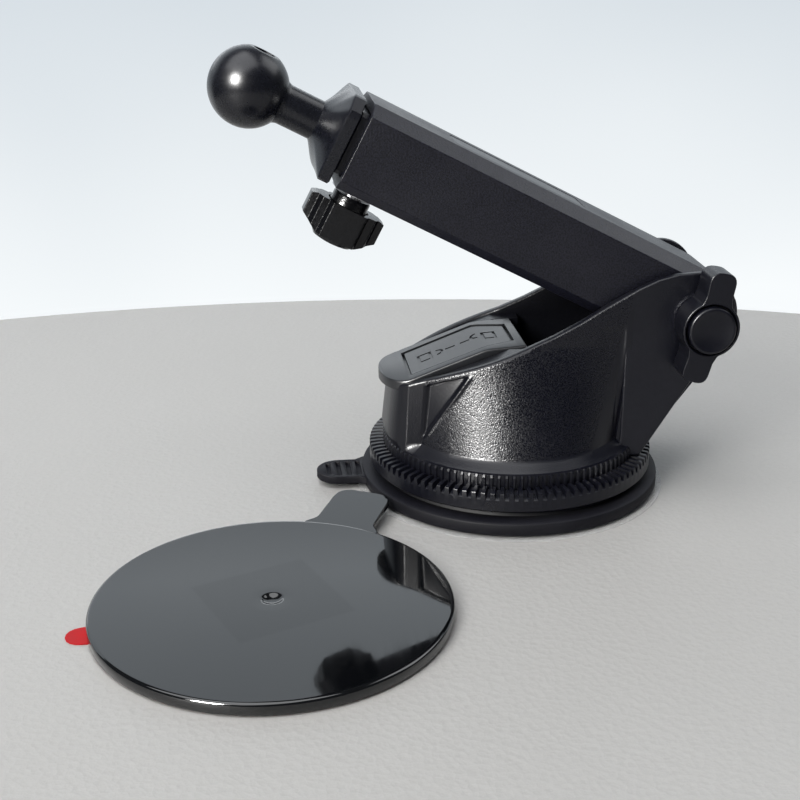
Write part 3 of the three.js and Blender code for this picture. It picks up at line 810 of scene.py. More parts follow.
def wallSection(station, along, plain):
    # one upright section of the wall, outer foot to inner foot: (x, y, z, grain) each
    s = housingShape
    inward = Vector((along.y, -along.x))
    if inward.dot(station[0]) > 0:
        inward.negate()
    x, rim = station[0].x, lineAt(rimLine, station[0].x)
    section = []

    def put(point, z, grain):
        section.append((point.x, point.y, z, grain))

    for z in (s["foot"], s["foot"] + 0.4, s["bandFoot"] - 0.3):
        put(station[2], z, s["smoothGrain"])
    for k in range(5):
        z = s["bandFoot"] + (s["bandTop"] - s["bandFoot"]) * k / 4
        put(outerPoint(station, z), z, s["smoothGrain"])
    crease = s["bandTop"] + (24 * ((x - 8) / 13) ** 2 if x > 8 else 0)  # the grain starts above this curve
    for k in range(1, s["rows"] + 1):
        z = s["bandTop"] + (rim - s["rimEdge"] - s["bandTop"]) * k / s["rows"]
        point, grain = outerPoint(station, z), smoothStep(crease - 0.2, crease + 0.5, z)
        if plain and recessShape["low"] < z < rim - recessShape["underRim"] + 0.6:
            dent, share = recessAt(x, z, rim)
            point, grain = point + inward * dent, grain * share
        put(point + inward * grooveAt(x, z), z, grain if plain else 0.1)
    edge, wall = s["rimEdge"], s["wall"]
    up = outerPoint(station, rim)
    for a in (math.radians(d) for d in (30, 60, 90)):
        put(up + inward * edge * (1 - math.cos(a)), rim - edge + edge * math.sin(a), s["rimGrain"])
    for a in (math.radians(d) for d in (90, 60, 30, 0)):
        put(up + inward * (wall - edge * (1 - math.cos(a))), rim - edge + edge * math.sin(a), s["rimGrain"])
    # the lever pocket's side is thick up to a ledge, with the wider arm channel behind and above it
    inner = up + inward * wall
    ledge = min(s["ledge"], rim - edge)
    thin = not plain or x > s["ledgeEnd"] or inner.y >= -s["pocket"]
    pocket = inner if thin else Vector((inner.x, -s["pocket"]))
    put(inner, ledge + 0.05, s["rimGrain"])
    for z in (ledge, (ledge + s["deck"]) / 2, s["deck"] - 1):
        put(pocket, z, s["rimGrain"])
    put(onCircle(station[2], 25.6), s["bandTop"] - 2, s["rimGrain"])
    put(onCircle(station[2], 26.2), s["foot"], s["rimGrain"])
    return section


def makeHousingWall():
    s = housingShape
    stations = wallStations()
    near = len(stations)
    plainEnd = near - s["facetSteps"] - s["noseSteps"] - 1  # last station before the facet and the nose
    rings = []
    for i, station in enumerate(stations):
        along = (stations[min(i + 1, near - 1)][0] - stations[max(i - 1, 0)][0]).normalized()
        rings.append(wallSection(station, along, i <= plainEnd))
    rings += [[(x, -y, z, grain) for x, y, z, grain in ring] for ring in rings[-2::-1]]  # the far half
    points, faces = loft(rings)
    mesh = bpy.data.meshes.new("housingWall")
    mesh.from_pydata([tuple(v * mm for v in p[:3]) for p in points], [], faces)
    layer = mesh.attributes.new("grain", "FLOAT", "POINT")
    layer.data.foreach_set("value", [p[3] for p in points])
    build = bmesh.new()
    build.from_mesh(mesh)
    bmesh.ops.recalc_face_normals(build, faces=build.faces)
    build.to_mesh(mesh)
    build.free()
    obj = bpy.data.objects.new("housingWall", mesh)
    bpy.context.scene.collection.objects.link(obj)
    return makePiece(obj, "base", finishes["spark"], ["housing"], 35)


def cheekOutline():
    s = housingShape
    end = boxMm("housing")[1][0] - 0.02
    radius = 8.2
    cx, cz = end - radius, lineAt(rimLine, 60) - radius
    rim = [(x, z) for x, z in rimLine if 21.5 < x < cx - 1]
    front = s["cheekFront"]
    return [(front, 9.9), (26.5, 9.9)] + arc(
        cx, cz, radius, -0.62, math.pi / 2, 20,
    ) + rim[::-1] + [(front, lineAt(rimLine, front))]


def makeCheek(name, side):
    s = housingShape
    form = swapYZ(prism(cheekOutline(), s["cheekInner"], s["cheek"]))
    if side < 0:
        form = [(x, -y, z) for x, y, z in form[0]], form[1]
    cheek = makeObject(name, form)
    bore = swapYZ(prism(arc(0, 0, 2.9, 0, tau, 32)[:-1], -20, 20))
    combine(cheek, [makeObject("bore", shifted(bore, pivotAt[0], 0, pivotAt[2]))])
    roundEdges(cheek, 0.5, 40)
    return makePiece(cheek, "base", finishes["spark"])


def makeHousingInside():
    # deck with the stem hole, channel floor and rear wall, hidden bosses left to the frame's screws
    s = housingShape
    inner = s["cheekInner"] + 0.15
    deckEdge = [
        (18.8, -11), (18.8, 11), (8, 14.0), (-8, 13.2), (-16, 10.2), (-22.4, 7.5), (-22.4, -7.5),
        (-16, -10.2), (-8, -13.2), (8, -14.0),
    ]
    deck = makeObject("housingDeck", prism(deckEdge, s["deck"] - s["deckThick"], s["deck"]))
    combine(deck, [makeObject("hole", turned([(0, 10), (5.2, 10), (5.2, 25), (0, 25)], 48))])
    roundEdges(deck, 0.3)
    makePiece(deck, "base", finishes["grained"])
    back = [
        (18.6, 17.2), (18.6, 21.4), (20.9, 21.4), (27.1, 30.6), (41.4, 30.6), (26.2, 10.2), (24.4, 10.2),
        (24.4, 11.6), (36.6, 28.2), (28.2, 28.2), (20.4, 17.2),
    ]
    rear = makeObject("housingRear", swapYZ(prism(filleted(back, 0.5, 3), -inner, inner)))
    roundEdges(rear, 0.3)
    makePiece(rear, "base", finishes["grained"])


def makeFootRibs():
    # short upright ribs round the foot, just above the teeth
    s = housingShape
    rings = []
    for rib in range(s["ribs"]):
        for share, out in ((0.0, 0.0), (0.12, s["ribOut"]), (0.42, s["ribOut"]), (0.54, 0.0)):
            angle = tau * (rib + share) / s["ribs"]
            r = s["footRadius"] + 0.02 + out
            section = [
                (s["footRadius"] - 0.5, 8.7), (r, 8.7), (r, s["ribTop"] - 0.5),
                (r - out * 0.8, s["ribTop"]), (s["footRadius"] - 0.9, s["ribTop"] + 0.1),
            ]
            rings.append([(a * math.cos(angle), a * math.sin(angle), z) for a, z in section])
    ribs = makeObject("footRibs", loopedLoft(rings))
    makePiece(ribs, "base", finishes["satin"], (), 30)


# lock lever

leverShape = {
    "tip": -30, "tipReach": 7.0, "rear": 1.2, "width": 10.3, "thick": 2.2, "edge": 0.5, "pocket": 1.0,
    "panelGap": 0.7, "camReach": 5.15, "camDrop": 2.1, "earInner": 5.4, "earThick": 3.0,
    "rearLip": ((0.6, 33.0), (2.3, 32.6)),
}
leverLine = [(-30, 27.55), (-26.5, 27.7), (-24.5, 28.1), (-8, 34.2), (-6.5, 34.45), (1.2, 34.95)]
panelPlan = [(-23.4, 6.9), (-8.0, 7.4), (-1.2, 5.3)]


def leverHalfWidth(x):
    s = leverShape
    tip = s["tip"] + s["tipReach"]
    if x >= tip:
        return s["width"]
    t = (tip - x) / s["tipReach"]
    return s["width"] * math.sqrt(max(0.0, 1 - t ** 2.4))


def makeLever():
    s = leverShape
    tipEnd = s["tip"] + s["tipReach"]
    stations = [s["tip"] + s["tipReach"] * (1 - math.cos(math.pi / 2 * i / 16)) for i in range(17)]
    stations += [tipEnd + (s["rear"] - tipEnd) * i / 48 for i in range(1, 49)]
    rings = []
    for x in stations:
        w, top = max(leverHalfWidth(x), 0.05), lineAt(leverLine, x)
        e = min(s["edge"], w * 0.9)
        low = top - s["thick"]
        side = [
            (w - e + e * math.cos(a), top - e + e * math.sin(a))
            for a in [math.pi / 8 * k for k in range(5)]
        ]
        under = [(w - 0.35, low), (w, low + 0.35)]
        half = under + side
        rings.append([(x, y, z) for y, z in half] + [(x, -y, z) for y, z in half[::-1]])
    lever = makeObject("lockLever", loft(rings))

    def sunk(grow, depth, rise):
        # the hexagonal pocket or panel, following the lever's slope
        parts = []
        outline = [(x, w + grow) for x, w in panelPlan]
        first, last = outline[0][0] - grow, outline[-1][0] + grow
        xs = [first + (last - first) * i / 40 for i in range(41)]
        for x in xs:
            w = lineAt([(outline[0][0] - 3, outline[0][1])] + outline[:], x) if x < last else outline[-1][1]
            top = lineAt(leverLine, x)
            parts.append([(x, -w, top - depth), (x, w, top - depth), (x, w, top + rise), (x, -w, top + rise)])
        return loft(parts)

    combine(lever, [makeObject("pocket", sunk(s["panelGap"], s["pocket"], 3))])
    makeLeverEars()
    lip = []
    for x, z in s["rearLip"]:
        lip.append([(x, -9.2, z), (x, 9.2, z), (x, 9.2, z + 1.1), (x, -9.2, z + 1.1)])
    rearLip = makeObject("leverRearLip", loft(lip))
    roundEdges(rearLip, 0.3)
    makePiece(rearLip, "lever", finishes["lever"])
    makePiece(lever, "lever", finishes["lever"], ["lock_lever"], 30)
    panel = makeObject("leverPanel", sunk(0.0, s["pocket"] - 0.05, -0.22))
    combine(panel, leverIcons())
    return makePiece(panel, "lever", finishes["lever"], ["lever_panel"], 30)


def makeLeverEars():
    s = leverShape
    # two ears with the cam that bears on the deck: its reach shrinks evenly as the lever opens
    pin = middleMm("lever_pin")
    cam = []
    for i in range(13):
        a = math.radians(5 * i)
        reach = s["camReach"] - s["camDrop"] * a
        x = pin[0] + reach * math.sin(a) - s["camDrop"] * math.cos(a)
        z = pin[2] - reach * math.cos(a) - s["camDrop"] * math.sin(a)
        cam.append((x, z))
    ear = cam + [
        (pin[0] + 2.55, pin[2] - 1.2), (pin[0] + 2.75, pin[2] + 2), (0.8, 33.0), (-10, 32.2), (-6, 25.3),
        (pin[0] - 4.5, pin[2] - 2.4),
    ]
    for name, low in (("leverEarFar", -s["earInner"] - s["earThick"]), ("leverEarNear", s["earInner"])):
        made = makeObject(name, swapYZ(prism(ear, low, low + s["earThick"])))
        roundEdges(made, 0.25)
        makePiece(made, "lever", finishes["satin"])


def leverIcons():
    # cutters for the generic marks in the panel: two frames, two bows and two dashes
    icons = []

    def engraved(outline, depth=0.5):
        levels = [[(x, y, lineAt(leverLine, x) + rise) for x, y in outline] for rise in (-depth, 2)]
        icons.append(makeObject("icon", loft(levels)))

    def frameIcon(x, w, h, line):
        # a small open rectangle drawn with four bars
        engraved([(x - w, -h), (x + w, -h), (x + w, -h + line), (x - w, -h + line)])
        engraved([(x - w, h - line), (x + w, h - line), (x + w, h), (x - w, h)])
        engraved([(x - w, -h + line), (x - w + line, -h + line), (x - w + line, h - line), (x - w, h - line)])
        engraved([(x + w - line, -h + line), (x + w, -h + line), (x + w, h - line), (x + w - line, h - line)])

    frameIcon(-19.6, 1.6, 2.2, 0.6)
    frameIcon(-5.2, 1.6, 2.2, 0.6)
    for x, shift in ((-17.0, 0.0), (-7.8, 0.9)):
        bow = arc(
            x, shift, 1.6, -math.pi / 2, math.pi / 2, 8,
        ) + arc(x, shift, 1.0, math.pi / 2, -math.pi / 2, 8)
        engraved([(a if x < -10 else 2 * x - a, b) for a, b in (bow if x < -10 else bow[::-1])])
    for x in (-13.9, -10.6):
        engraved([(x - 1.1, -0.3), (x + 1.1, -0.3), (x + 1.1, 0.3), (x - 1.1, 0.3)])
    return icons


# arm

def makeSleeve():
    low, high = armSpan("arm_sleeve")
    front, w, h = low[0], high[1], high[2]
    section = [
        (-w + 2, -h), (w - 2, -h), (w, -h + 2), (w, h - 2.4), (w - 4.2, h), (4.2 - w, h), (-w, h - 2.4),
        (-w, -h + 2),
    ]
    tube = makeObject("armSleeve", loft([[(x, y, z) for y, z in section] for x in (front, 14)]))
    side = [(front - 1, -h - 1), (0, -h - 1)] + [(0, -h)] + arc(
        0, 0, h - 0.02, -math.pi / 2, math.pi / 2, 40,
    )[1:-1] + [(0, h), (0, h + 1), (front - 1, h + 1)]
    combine(tube, [makeObject("side", swapYZ(prism(side, -w - 2, w + 2)))], "INTERSECT")
    wall = 2.2
    hollow = filleted(
        [(-w + wall, -h + wall), (w - wall, -h + wall), (w - wall, h - wall), (-w + wall, h - wall)], 1.0,
        4,
    )
    cutters = [
        makeObject("hollow", loft([[(x, y, z) for y, z in hollow] for x in (front - 2, -13.5)])),
        makeObject("bore", swapYZ(prism(arc(0, 0, 4.6, 0, tau, 40)[:-1], -w - 2, w + 2))),
    ]
    inlayLow, inlayHigh = armSpan("top_inlay")
    plan = [
        (inlayLow[0] - 0.2, -5.2), (inlayHigh[0] + 0.2, -5.2), (inlayHigh[0] + 0.2, 5.2),
        (inlayLow[0] - 0.2, 5.2),
    ]
    cutters.append(makeObject("recess", prism(filleted(plan, 1.2, 4), h - 0.8, h + 2)))
    clampLow, clampHigh = armSpan("clamp_insert")
    clampX = (clampLow[0] + clampHigh[0]) / 2
    hole = turned([(0, -h - 2), (3, -h - 2), (3, -h + 4), (0, -h + 4)], 40)
    cutters.append(makeObject("hole", shifted(hole, clampX)))
    combine(tube, cutters)
    placeOnArm(tube)
    roundEdges(tube, 0.4, 22)
    return makePiece(tube, "outer_arm", finishes["grained"], ["arm_sleeve"], 25)


def makeInlay():
    low, high = armSpan("top_inlay")
    plan = filleted([(low[0], -5), (high[0], -5), (high[0], 5), (low[0], 5)], 1.1, 5)
    inlay = makeObject("armInlay", moved(prism(plan, low[2], high[2]), armPlace))
    roundEdges(inlay, 0.2, 40, 2)
    return makePiece(inlay, "outer_arm", finishes["satin"], ["top_inlay"])


ballShape = {
    "sides": 96, "radius": 8.48, "neck": 4.25, "flatDepth": 0.65, "flareLength": 3.9, "flareSpread": 4.2,
    "flareEase": 1.8, "flareSteps": 14, "plateHalf": 9.2, "plateThick": 2.5, "chamferY": 2.9, "chamferZ": 3.0,
}


def plateRing(x, w, h, chamferY, chamferZ, shrink):
    # rectangle with the two upper corners cut, as rays at equal angles from its middle
    sides = ballShape["sides"]
    corners = [(-w, -h), (w, -h), (w, h - chamferZ), (w - chamferY, h), (chamferY - w, h), (-w, h - chamferZ)]
    ring = []
    for i in range(sides):
        a = tau * (i + 0.5) / sides
        direction = Vector((math.cos(a), math.sin(a)))
        reach = 1e9
        for (y0, z0), (y1, z1) in zip(corners, corners[1:] + corners[:1]):
            normal = Vector((z1 - z0, y0 - y1)).normalized()
            facing = normal.dot(direction)
            if facing > 1e-6:
                reach = min(reach, (normal.dot(Vector((y0, z0))) - shrink) / facing)
        ring.append((x, direction.x * reach, direction.y * reach))
    return ring


def circleRing(x, radius):
    sides = ballShape["sides"]
    angles = [tau * (i + 0.5) / sides for i in range(sides)]
    return [(x, radius * math.cos(a), radius * math.sin(a)) for a in angles]


def mixedRing(a, b, t):
    return [tuple(p + (q - p) * t for p, q in zip(u, v)) for u, v in zip(a, b)]


def makeBallHead():
    s = ballShape
    low, high = armSpan("ball_head")
    radius, neck = s["radius"], s["neck"]
    centre = low[0] + radius + 0.02
    front, back = high[0] - s["plateThick"], high[0]
    plate = lambda x, shrink: plateRing(x, high[1], s["plateHalf"], s["chamferY"], s["chamferZ"], shrink)
    rings = []
    end = math.acos(neck / radius) + math.pi / 2 - 0.05
    for i in range(57):
        a = end * i / 56
        rings.append(circleRing(centre - radius * math.cos(a), max(radius * math.sin(a), 0.001)))
    joint = centre + math.sqrt(radius ** 2 - neck ** 2)
    for k in range(1, 5):  # small fillet between ball and neck
        rings.append(circleRing(joint + k * 0.22, neck + 0.28 * (1 - k / 4) ** 2))
    flare = front - s["flareLength"]
    rings.append(circleRing(flare - 0.5, neck))
    small, wide, big = circleRing(flare, neck), circleRing(front, neck + s["flareSpread"]), plate(front, 0.15)
    for k in range(s["flareSteps"] + 1):
        t = k / s["flareSteps"]
        mixed = mixedRing(mixedRing(small, wide, t), big, t ** s["flareEase"])
        rings.append([(flare + s["flareLength"] * t, p[1], p[2]) for p in mixed])
    rings += [plate(front + 0.15, 0.0), plate(back - 0.2, 0.0), plate(back, 0.2)]
    head = makeObject("ballHead", loft(rings))
    flat = radius - s["flatDepth"]
    square = [(centre - 6, -6), (centre + 6, -6), (centre + 6, 6), (centre - 6, 6)]
    cutters = [makeObject("flat", prism(square, flat, radius + 2))]
    dent = turned([(0, flat - 0.5), (2.2, flat - 0.5), (2.5, flat + 0.2), (2.5, flat + 2), (0, flat + 2)], 48)
    cutters.append(makeObject("dent", shifted(dent, centre)))
    combine(head, cutters)
    placeOnArm(head)
    return makePiece(head, "inner_arm", finishes["ballGloss"], ["ball_head"], 26)


# knobs

# half the thumb knob's outline, from the wing in to the face
thumbSide = [(6.9, 2.5, 0.5), (6.1, 3.9, 0.55), (4.5, 4.2, 0.35), (3.8, 5.65, 0.7)]


def makeThumbKnob():
    low, high = armSpan("thumb_knob")
    x = (low[0] + high[0]) / 2
    reach = (high[0] - low[0]) / 2
    bottom = low[2]
    collar = [
        (0, bottom + 0.1), (3.2, bottom), (4.4, bottom + 0.3), (4.95, bottom + 1.0), (5.0, bottom + 1.8),
        (4.6, bottom + 2.2), (4.2, -14.4), (4.35, -13.4), (4.35, -12.9), (4.2, -12.6), (4.2, -11.3),
        (4.0, -10.95), (2.2, -10.95), (2.2, -12), (0, -12),
    ]
    knob = makeObject("thumbKnob", turned(collar, 72))
    near = [(reach, 2.1, 0.3)] + thumbSide
    outline = [(a, -b, r) for a, b, r in near[::-1]] + [(a, b, r) for a, b, r in near]
    outline += [(-a, b, r) for a, b, r in near[::-1]] + [(-a, -b, r) for a, b, r in near]
    # walk round once: near right, far right, far left, near left
    outline = filleted(outline, 0.4, 4)
    body = makeObject("body", prism(outline, bottom + 1.2, -13.1))
    slope = [
        (-reach - 1, bottom + 4.3), (-4.6, bottom + 1.2), (4.6, bottom + 1.2), (reach + 1, bottom + 4.3),
        (reach + 1, -13.9), (reach - 1.2, -13.1), (1.2 - reach, -13.1), (-reach - 1, -13.9),
    ]
    combine(body, [makeObject("slope", swapYZ(prism(slope, -8, 8)))], "INTERSECT")
    combine(body, [makeObject("seat", turned([(0, -14.3), (4.75, -14.3), (4.75, -12), (0, -12)], 64))])
    combine(knob, [body], "UNION")
    placeOnArm(knob, x)
    roundEdges(knob, 0.22, 38, 3)
    return makePiece(knob, "clamp_knob", finishes["knobGloss"], ["thumb_knob"], 30)


knobShape = {
    "hub": 6.15, "wing": 2.95, "top": 12.4, "bottom": 11.9, "upperLean": 0.17, "lowerLean": 0.285,
    "tip": 2.5, "waist": 1.3,
}


def knobOutline():
    # two rounded wings on a round hub, with tight waists; each wing has its own lean
    s = knobShape
    w, reach = s["wing"], math.sqrt(s["hub"] ** 2 - (s["wing"] + 0.35) ** 2)

    def wing(end, lean):
        corners = [
            (w + 0.35, reach, s["waist"]), (w - 0.1, reach + 1.9, 1.2), (w, end, s["tip"]),
            (-w, end, s["tip"]), (0.1 - w, reach + 1.9, 1.2), (-w - 0.35, reach, s["waist"]),
        ]
        c, k = math.cos(lean), math.sin(lean)
        return [(x * c + y * k, y * c - x * k, r) for x, y, r in corners]

    upper, lower = wing(s["top"], s["upperLean"]), [
        (-x, -y, r) for x, y, r in wing(s["bottom"], s["lowerLean"])
    ]

    def hubArc(start, end):
        a, b = math.atan2(start[1], start[0]), math.atan2(end[1], end[0])
        if b < a:
            b += tau
        return [
            (s["hub"] * math.cos(t), s["hub"] * math.sin(t), 0)
            for t in [a + (b - a) * (0.12 + 0.76 * i / 12) for i in range(13)]
        ]

    return upper + hubArc(upper[-1], lower[0]) + lower + hubArc(lower[-1], upper[0])


def makePivotKnob():
    low, high = boxMm("pivot_knob")
    near, far = -low[1], -high[1]  # distances from the middle plane
    outline = filleted(knobOutline(), 0, 6)
    place = lambda form: shifted(swapYZ(form), pivotAt[0], 0, pivotAt[2])
    knob = makeObject("pivotKnob", place(prism(outline, far, near)))
    well = place(turned([(0, near - 1.6), (5.55, near - 1.6), (5.55, near + 2), (0, near + 2)], 72))
    combine(knob, [makeObject("well", well)])
    roundEdges(knob, 0.55, 34, 4)
    makePiece(knob, "pivot_knob", finishes["satin"], ["pivot_knob"], 30)
    capTop = -boxMm("knob_cap")[0][1]
    profile = [(0, near - 1.5), (5.25, near - 1.5), (5.1, capTop - 0.75)]
    profile += roundedStep(5.1, capTop - 0.02, 0.55, 5)[1:]
    profile += [(4.35, capTop - 0.02), (4.2, capTop - 0.12), (0, capTop - 0.16)]
    cap = makeObject("knobCap", place(turned(profile)))
    return makePiece(cap, "pivot_knob", finishes["satin"], ["knob_cap"], 40)


# stick-on disc

discShape = {
    "radius": 34.5, "edge": 0.7, "lip": 0.75, "lipBottom": 0.3, "dome": 0.5, "tabWidth": 6.3,
    "tabReach": 48.25, "tabCorner": 3.8, "tabAngle": 1.1, "tabDrop": 0.65, "tabRise": 0.13,
}
dimpleShape = [
    (2.6, 0), (2.3, 0.02), (2.05, 0.1), (1.75, 0.3), (1.35, 0.52), (0.8, 0.64), (0.3, 0.68), (0, 0.68),
]


def makeDisc():
    s = discShape
    low, high = boxMm("adhesive_pad")
    cx, cy = (low[0] + high[0]) / 2, (low[1] + high[1]) / 2
    bottom, top = boxMm("mounting_disc")[0][2], boxMm("mounting_disc")[1][2]
    r, e, t = s["radius"], s["edge"], s["tabWidth"]
    drop = lambda radius: s["dome"] * (radius / r) ** 2
    profile = [
        (0, bottom), (r - s["lip"], bottom), (r - s["lip"] + 0.05, s["lipBottom"]),
        (r - 0.15, s["lipBottom"]), (r, s["lipBottom"] + 0.2),
    ]
    edgeTop = top - drop(r - e)
    profile += [
        (r - e + e * math.cos(a), edgeTop - e + e * math.sin(a))
        for a in [math.pi / 2 * i / 6 for i in range(7)]
    ]
    profile += [(k, top - drop(k)) for k in (33.5, 31, 27, 22, 17, 12, 8, 5)]
    profile += [(k, top - d - drop(k)) for k, d in dimpleShape]
    disc = makeObject("stickOnDisc", shifted(turned(profile, 256), cx, cy))
    tabOutline = filleted([
        (r - 4, -8.6, 0), (r - 0.4, -8.3, 1.5), (r + 1.7, -t - 0.2, 2.2), (s["tabReach"], -t, s["tabCorner"]),
        (
            s["tabReach"], t, s["tabCorner"],
        ), (r + 1.7, t + 0.2, 2.2), (r - 0.4, 8.3, 1.5), (r - 4, 8.6, 0)], 1, 8)
    c, k = math.cos(s["tabAngle"]), math.sin(s["tabAngle"])
    turnedOutline = [(x * c - y * k + cx, x * k + y * c + cy) for x, y in tabOutline]
    along = lambda x, y: max(0.0, (x - cx) * c + (y - cy) * k - r)
    tabForm = prism(turnedOutline, bottom + 0.2, top - s["tabDrop"])
    bent = moved(tabForm, lambda p: (p[0], p[1], p[2] + s["tabRise"] * along(p[0], p[1])))
    tab = makeObject("stickOnDiscTab", bent)
    roundEdges(tab, 0.3, 40, 3)
    makePiece(tab, "disc", finishes["disc"])
    return makePiece(disc, "disc", finishes["disc"], ["mounting_disc"], 60)


# frame nodes that keep their own shape

keptNodes = {
    "protective_film": ("film", 0.08), "base_plate": ("satin", 0.2),
    **{"housing_screw_" + str(i): ("steel", 0.12) for i in range(1, 5)},
    "suction_stem": ("nylon", 0.2), "lever_pin": ("steel", 0.2), "pivot_bush": ("steel", 0.2),
    "clamp_insert": ("steel", 0.15), "slide_tube": ("satin", 0.3), "head_screw": ("steel", 0.15),
    "glide_block": ("nylon", 0.3),
    "thumb_bolt": ("steel", 0.2), "clamp_pad": ("nylon", 0.15), "friction_washer_near": ("nylon", 0.1),
    "friction_washer_far": ("nylon", 0.1),
    "pivot_bolt": ("blackSteel", 0.3), "bolt_washer": ("steel", 0.1), "knob_washer": ("steel", 0.1),
    "knob_nut": ("brass", 0.2),
    "adhesive_pad": ("foam", 0.1), "red_liner": ("red", 0.0),
}


def dressNodes():
    for node, (finish, edge) in keptNodes.items():
        obj = frame["nodes"][node]
        obj.data.materials.clear()
        obj.data.materials.append(finishes[finish])
        weld = obj.modifiers.new("weld", "WELD")
        weld.merge_threshold = 1e-6
        if edge:
            roundEdges(obj, edge, 35, 2)


# room

cameraShot = {"place": (-58.18, -282.77, 128.82), "turn": 0.116, "tilt": 0.366, "roll": -0.005, "lens": 60.62}


def placeCamera():
    s = cameraShot
    level = math.cos(s["tilt"])
    ahead = Vector((math.sin(s["turn"]) * level, math.cos(s["turn"]) * level, -math.sin(s["tilt"])))
    right = Vector((math.cos(s["turn"]), -math.sin(s["turn"]), 0))
    up = right.cross(ahead)
    c, k = math.cos(s["roll"]), math.sin(s["roll"])
    right, up = right * c + up * k, up * c - right * k
    data = bpy.data.cameras.new("camera")
    data.lens = s["lens"]
    data.sensor_width = 36
    data.clip_start, data.clip_end = 0.01, 20
    camera = bpy.data.objects.new("camera", data)
    turn = Matrix((right, up, -ahead)).transposed()
    camera.matrix_world = Matrix.Translation(Vector(s["place"]) * mm) @ turn.to_4x4()
    bpy.context.scene.collection.objects.link(camera)
    bpy.context.scene.camera = camera


roomShape = {
    "tableX": -54, "tableY": -282, "tableRadius": 430, "tableThick": 18, "floor": -0.05, "wallY": 1500,
    "wallHalf": 2600, "wallLow": -1600, "wallHigh": 1500,
}


def makeTable():
    s = roomShape
    material, shader = newMaterial("tableTop")
    bench = NodeBench(material)
    grain = bench.noise(1000, 2, 0.65)
    cells = bench.cells(700)
    cloud = bench.noise(8, 2)
    mix = bench.math("ADD", bench.math("MULTIPLY", grain, 0.45), bench.math("MULTIPLY", cloud, 0.4))
    bench.plug(bench.tint(mix, (0.56, 0.55, 0.53), (0.7, 0.69, 0.67)), shader, "Base Color")
    bench.plug(bench.span(grain, 0.5, 0.68), shader, "Roughness")
    leather = bench.math("ADD", bench.math("MULTIPLY", grain, 0.5), bench.math("MULTIPLY", cells, 0.6))
    bench.plug(bench.bump(leather, 0.9, 0.2), shader, "Normal")
    shader.inputs["Specular IOR Level"].default_value = 0.3
    z = s["floor"]
    edge = arc(s["tableX"], s["tableY"], s["tableRadius"], 0, tau, 200)[:-1]
    inset = arc(s["tableX"], s["tableY"], s["tableRadius"] - 1.5, 0, tau, 200)[:-1]
    rings = [
        [(x, y, z - s["tableThick"]) for x, y in edge], [(x, y, z - 1.5) for x, y in edge],
        [(x, y, z) for x, y in inset]
    ]
    table = makeObject("tableTop", loft(rings))
    table.data.materials.append(material)
    shadeSmooth(table, 40)


def makeBackdrop():
    # a plain wall that glows by itself, with painted light: brighter towards its foot and above the view
    s = roomShape
    wallMaterial, wallShader = newMaterial("backdrop")
    wallBench = NodeBench(wallMaterial)
    height = wallBench.nodes.new("ShaderNodeSeparateXYZ")
    wallBench.links.new(wallBench.where, height.inputs["Vector"])
    # painted light: the glow is pale near the wall's foot and turns grey-blue above table height
    rise = wallBench.span(height.outputs["Z"], 0.0, 1.0, -0.42, 0.05)
    cloud = wallBench.math("MULTIPLY", wallBench.noise(2.5, 1), 0.5)
    mixed = wallBench.math("ADD", rise, wallBench.math("SUBTRACT", cloud, 0.25))
    tone = wallBench.tint(mixed, (0.95, 0.985, 1.0), (0.66, 0.72, 0.77))
    wallBench.plug(tone, wallShader, "Emission Color")
    # painted light: the glow grows stronger from 0.62 m to 0.8 m up the wall
    wallBench.plug(wallBench.span(height.outputs["Z"], 0.97, 1.5, 0.62, 0.8), wallShader, "Emission Strength")
    wallShader.inputs["Base Color"].default_value = (0.02, 0.02, 0.02, 1)
    wallShader.inputs["Roughness"].default_value = 0.9
    y = s["wallY"]
    low, high, w = s["wallLow"], s["wallHigh"], s["wallHalf"]
    wall = makeObject("backdrop", ([(-w, y, low), (w, y, low), (w, y, high), (-w, y, high)], [[0, 1, 2, 3]]))
    wall.data.materials.append(wallMaterial)


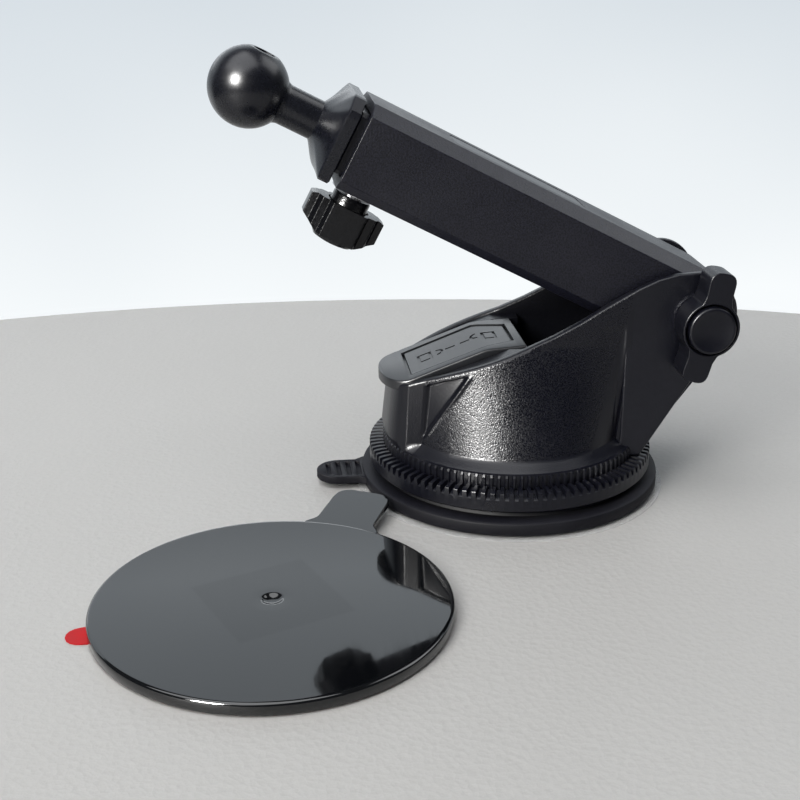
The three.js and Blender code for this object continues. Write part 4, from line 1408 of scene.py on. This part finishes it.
lampPlan = [
    # name, place in mm, aim in mm, size in mm, watts, colour
    ("keyLamp", (-720, -790, 585), (0, 0, 30), (420, 480), 5.2, (1.0, 0.99, 0.97)),
    ("glint", (-722, -792, 587), (0, 0, 30), (300, 360), 56, (1.0, 0.99, 0.97)),
    ("softShine", (-350, -250, 1351), (-40, -60, 0), (1500, 1500), 10, (0.93, 0.96, 1.0)),
    ("ceiling", (-350, -250, 1350), (-40, -60, 0), (1500, 1500), 13, (0.99, 0.99, 1.0)),
    ("sideShine", (1000, 280, 1060), (0, 0, 60), (900, 900), 7, (0.96, 0.98, 1.0)),
    ("highBack", (-200, 1350, 420), (0, 0, 0), (1500, 150), 1.4, (0.95, 0.975, 1.0)),
]


shineOnly = ("glint", "softShine", "sideShine")  # these lamps add shine and light nothing


def makeLights():
    for name, place, aim, size, watts, colour in lampPlan:
        data = bpy.data.lights.new(name, "AREA")
        data.shape = "RECTANGLE"
        data.size, data.size_y = size[0] * mm, size[1] * mm
        data.energy = watts
        data.color = colour
        lamp = bpy.data.objects.new(name, data)
        lamp.location = Vector(place) * mm
        lamp.rotation_euler = (Vector(aim) - Vector(place)).to_track_quat("-Z", "Y").to_euler()
        lamp.visible_diffuse = name not in shineOnly
        bpy.context.scene.collection.objects.link(lamp)
    world = bpy.data.worlds.new("room")
    bpy.context.scene.world = world
    world.use_nodes = True
    background = world.node_tree.nodes["Background"]
    background.inputs["Color"].default_value = (0.9, 0.94, 1.0, 1)
    background.inputs["Strength"].default_value = 0.1
    bpy.context.scene.view_settings.view_transform = "Standard"


placeCamera()
makeTable()
makeBackdrop()
makeLights()
print("room ready")
makeCup()
makeSpring()
makeToothedRing()
makeHousingWall()
makeCheek("cheekNear", 1)
makeCheek("cheekFar", -1)
makeHousingInside()
makeFootRibs()
print("base ready")
makeLever()
print("lever ready")
makeSleeve()
makeInlay()
makeBallHead()
print("arm ready")
makeThumbKnob()
makePivotKnob()
makeDisc()
dressNodes()
print("knobs, disc and frame nodes ready")
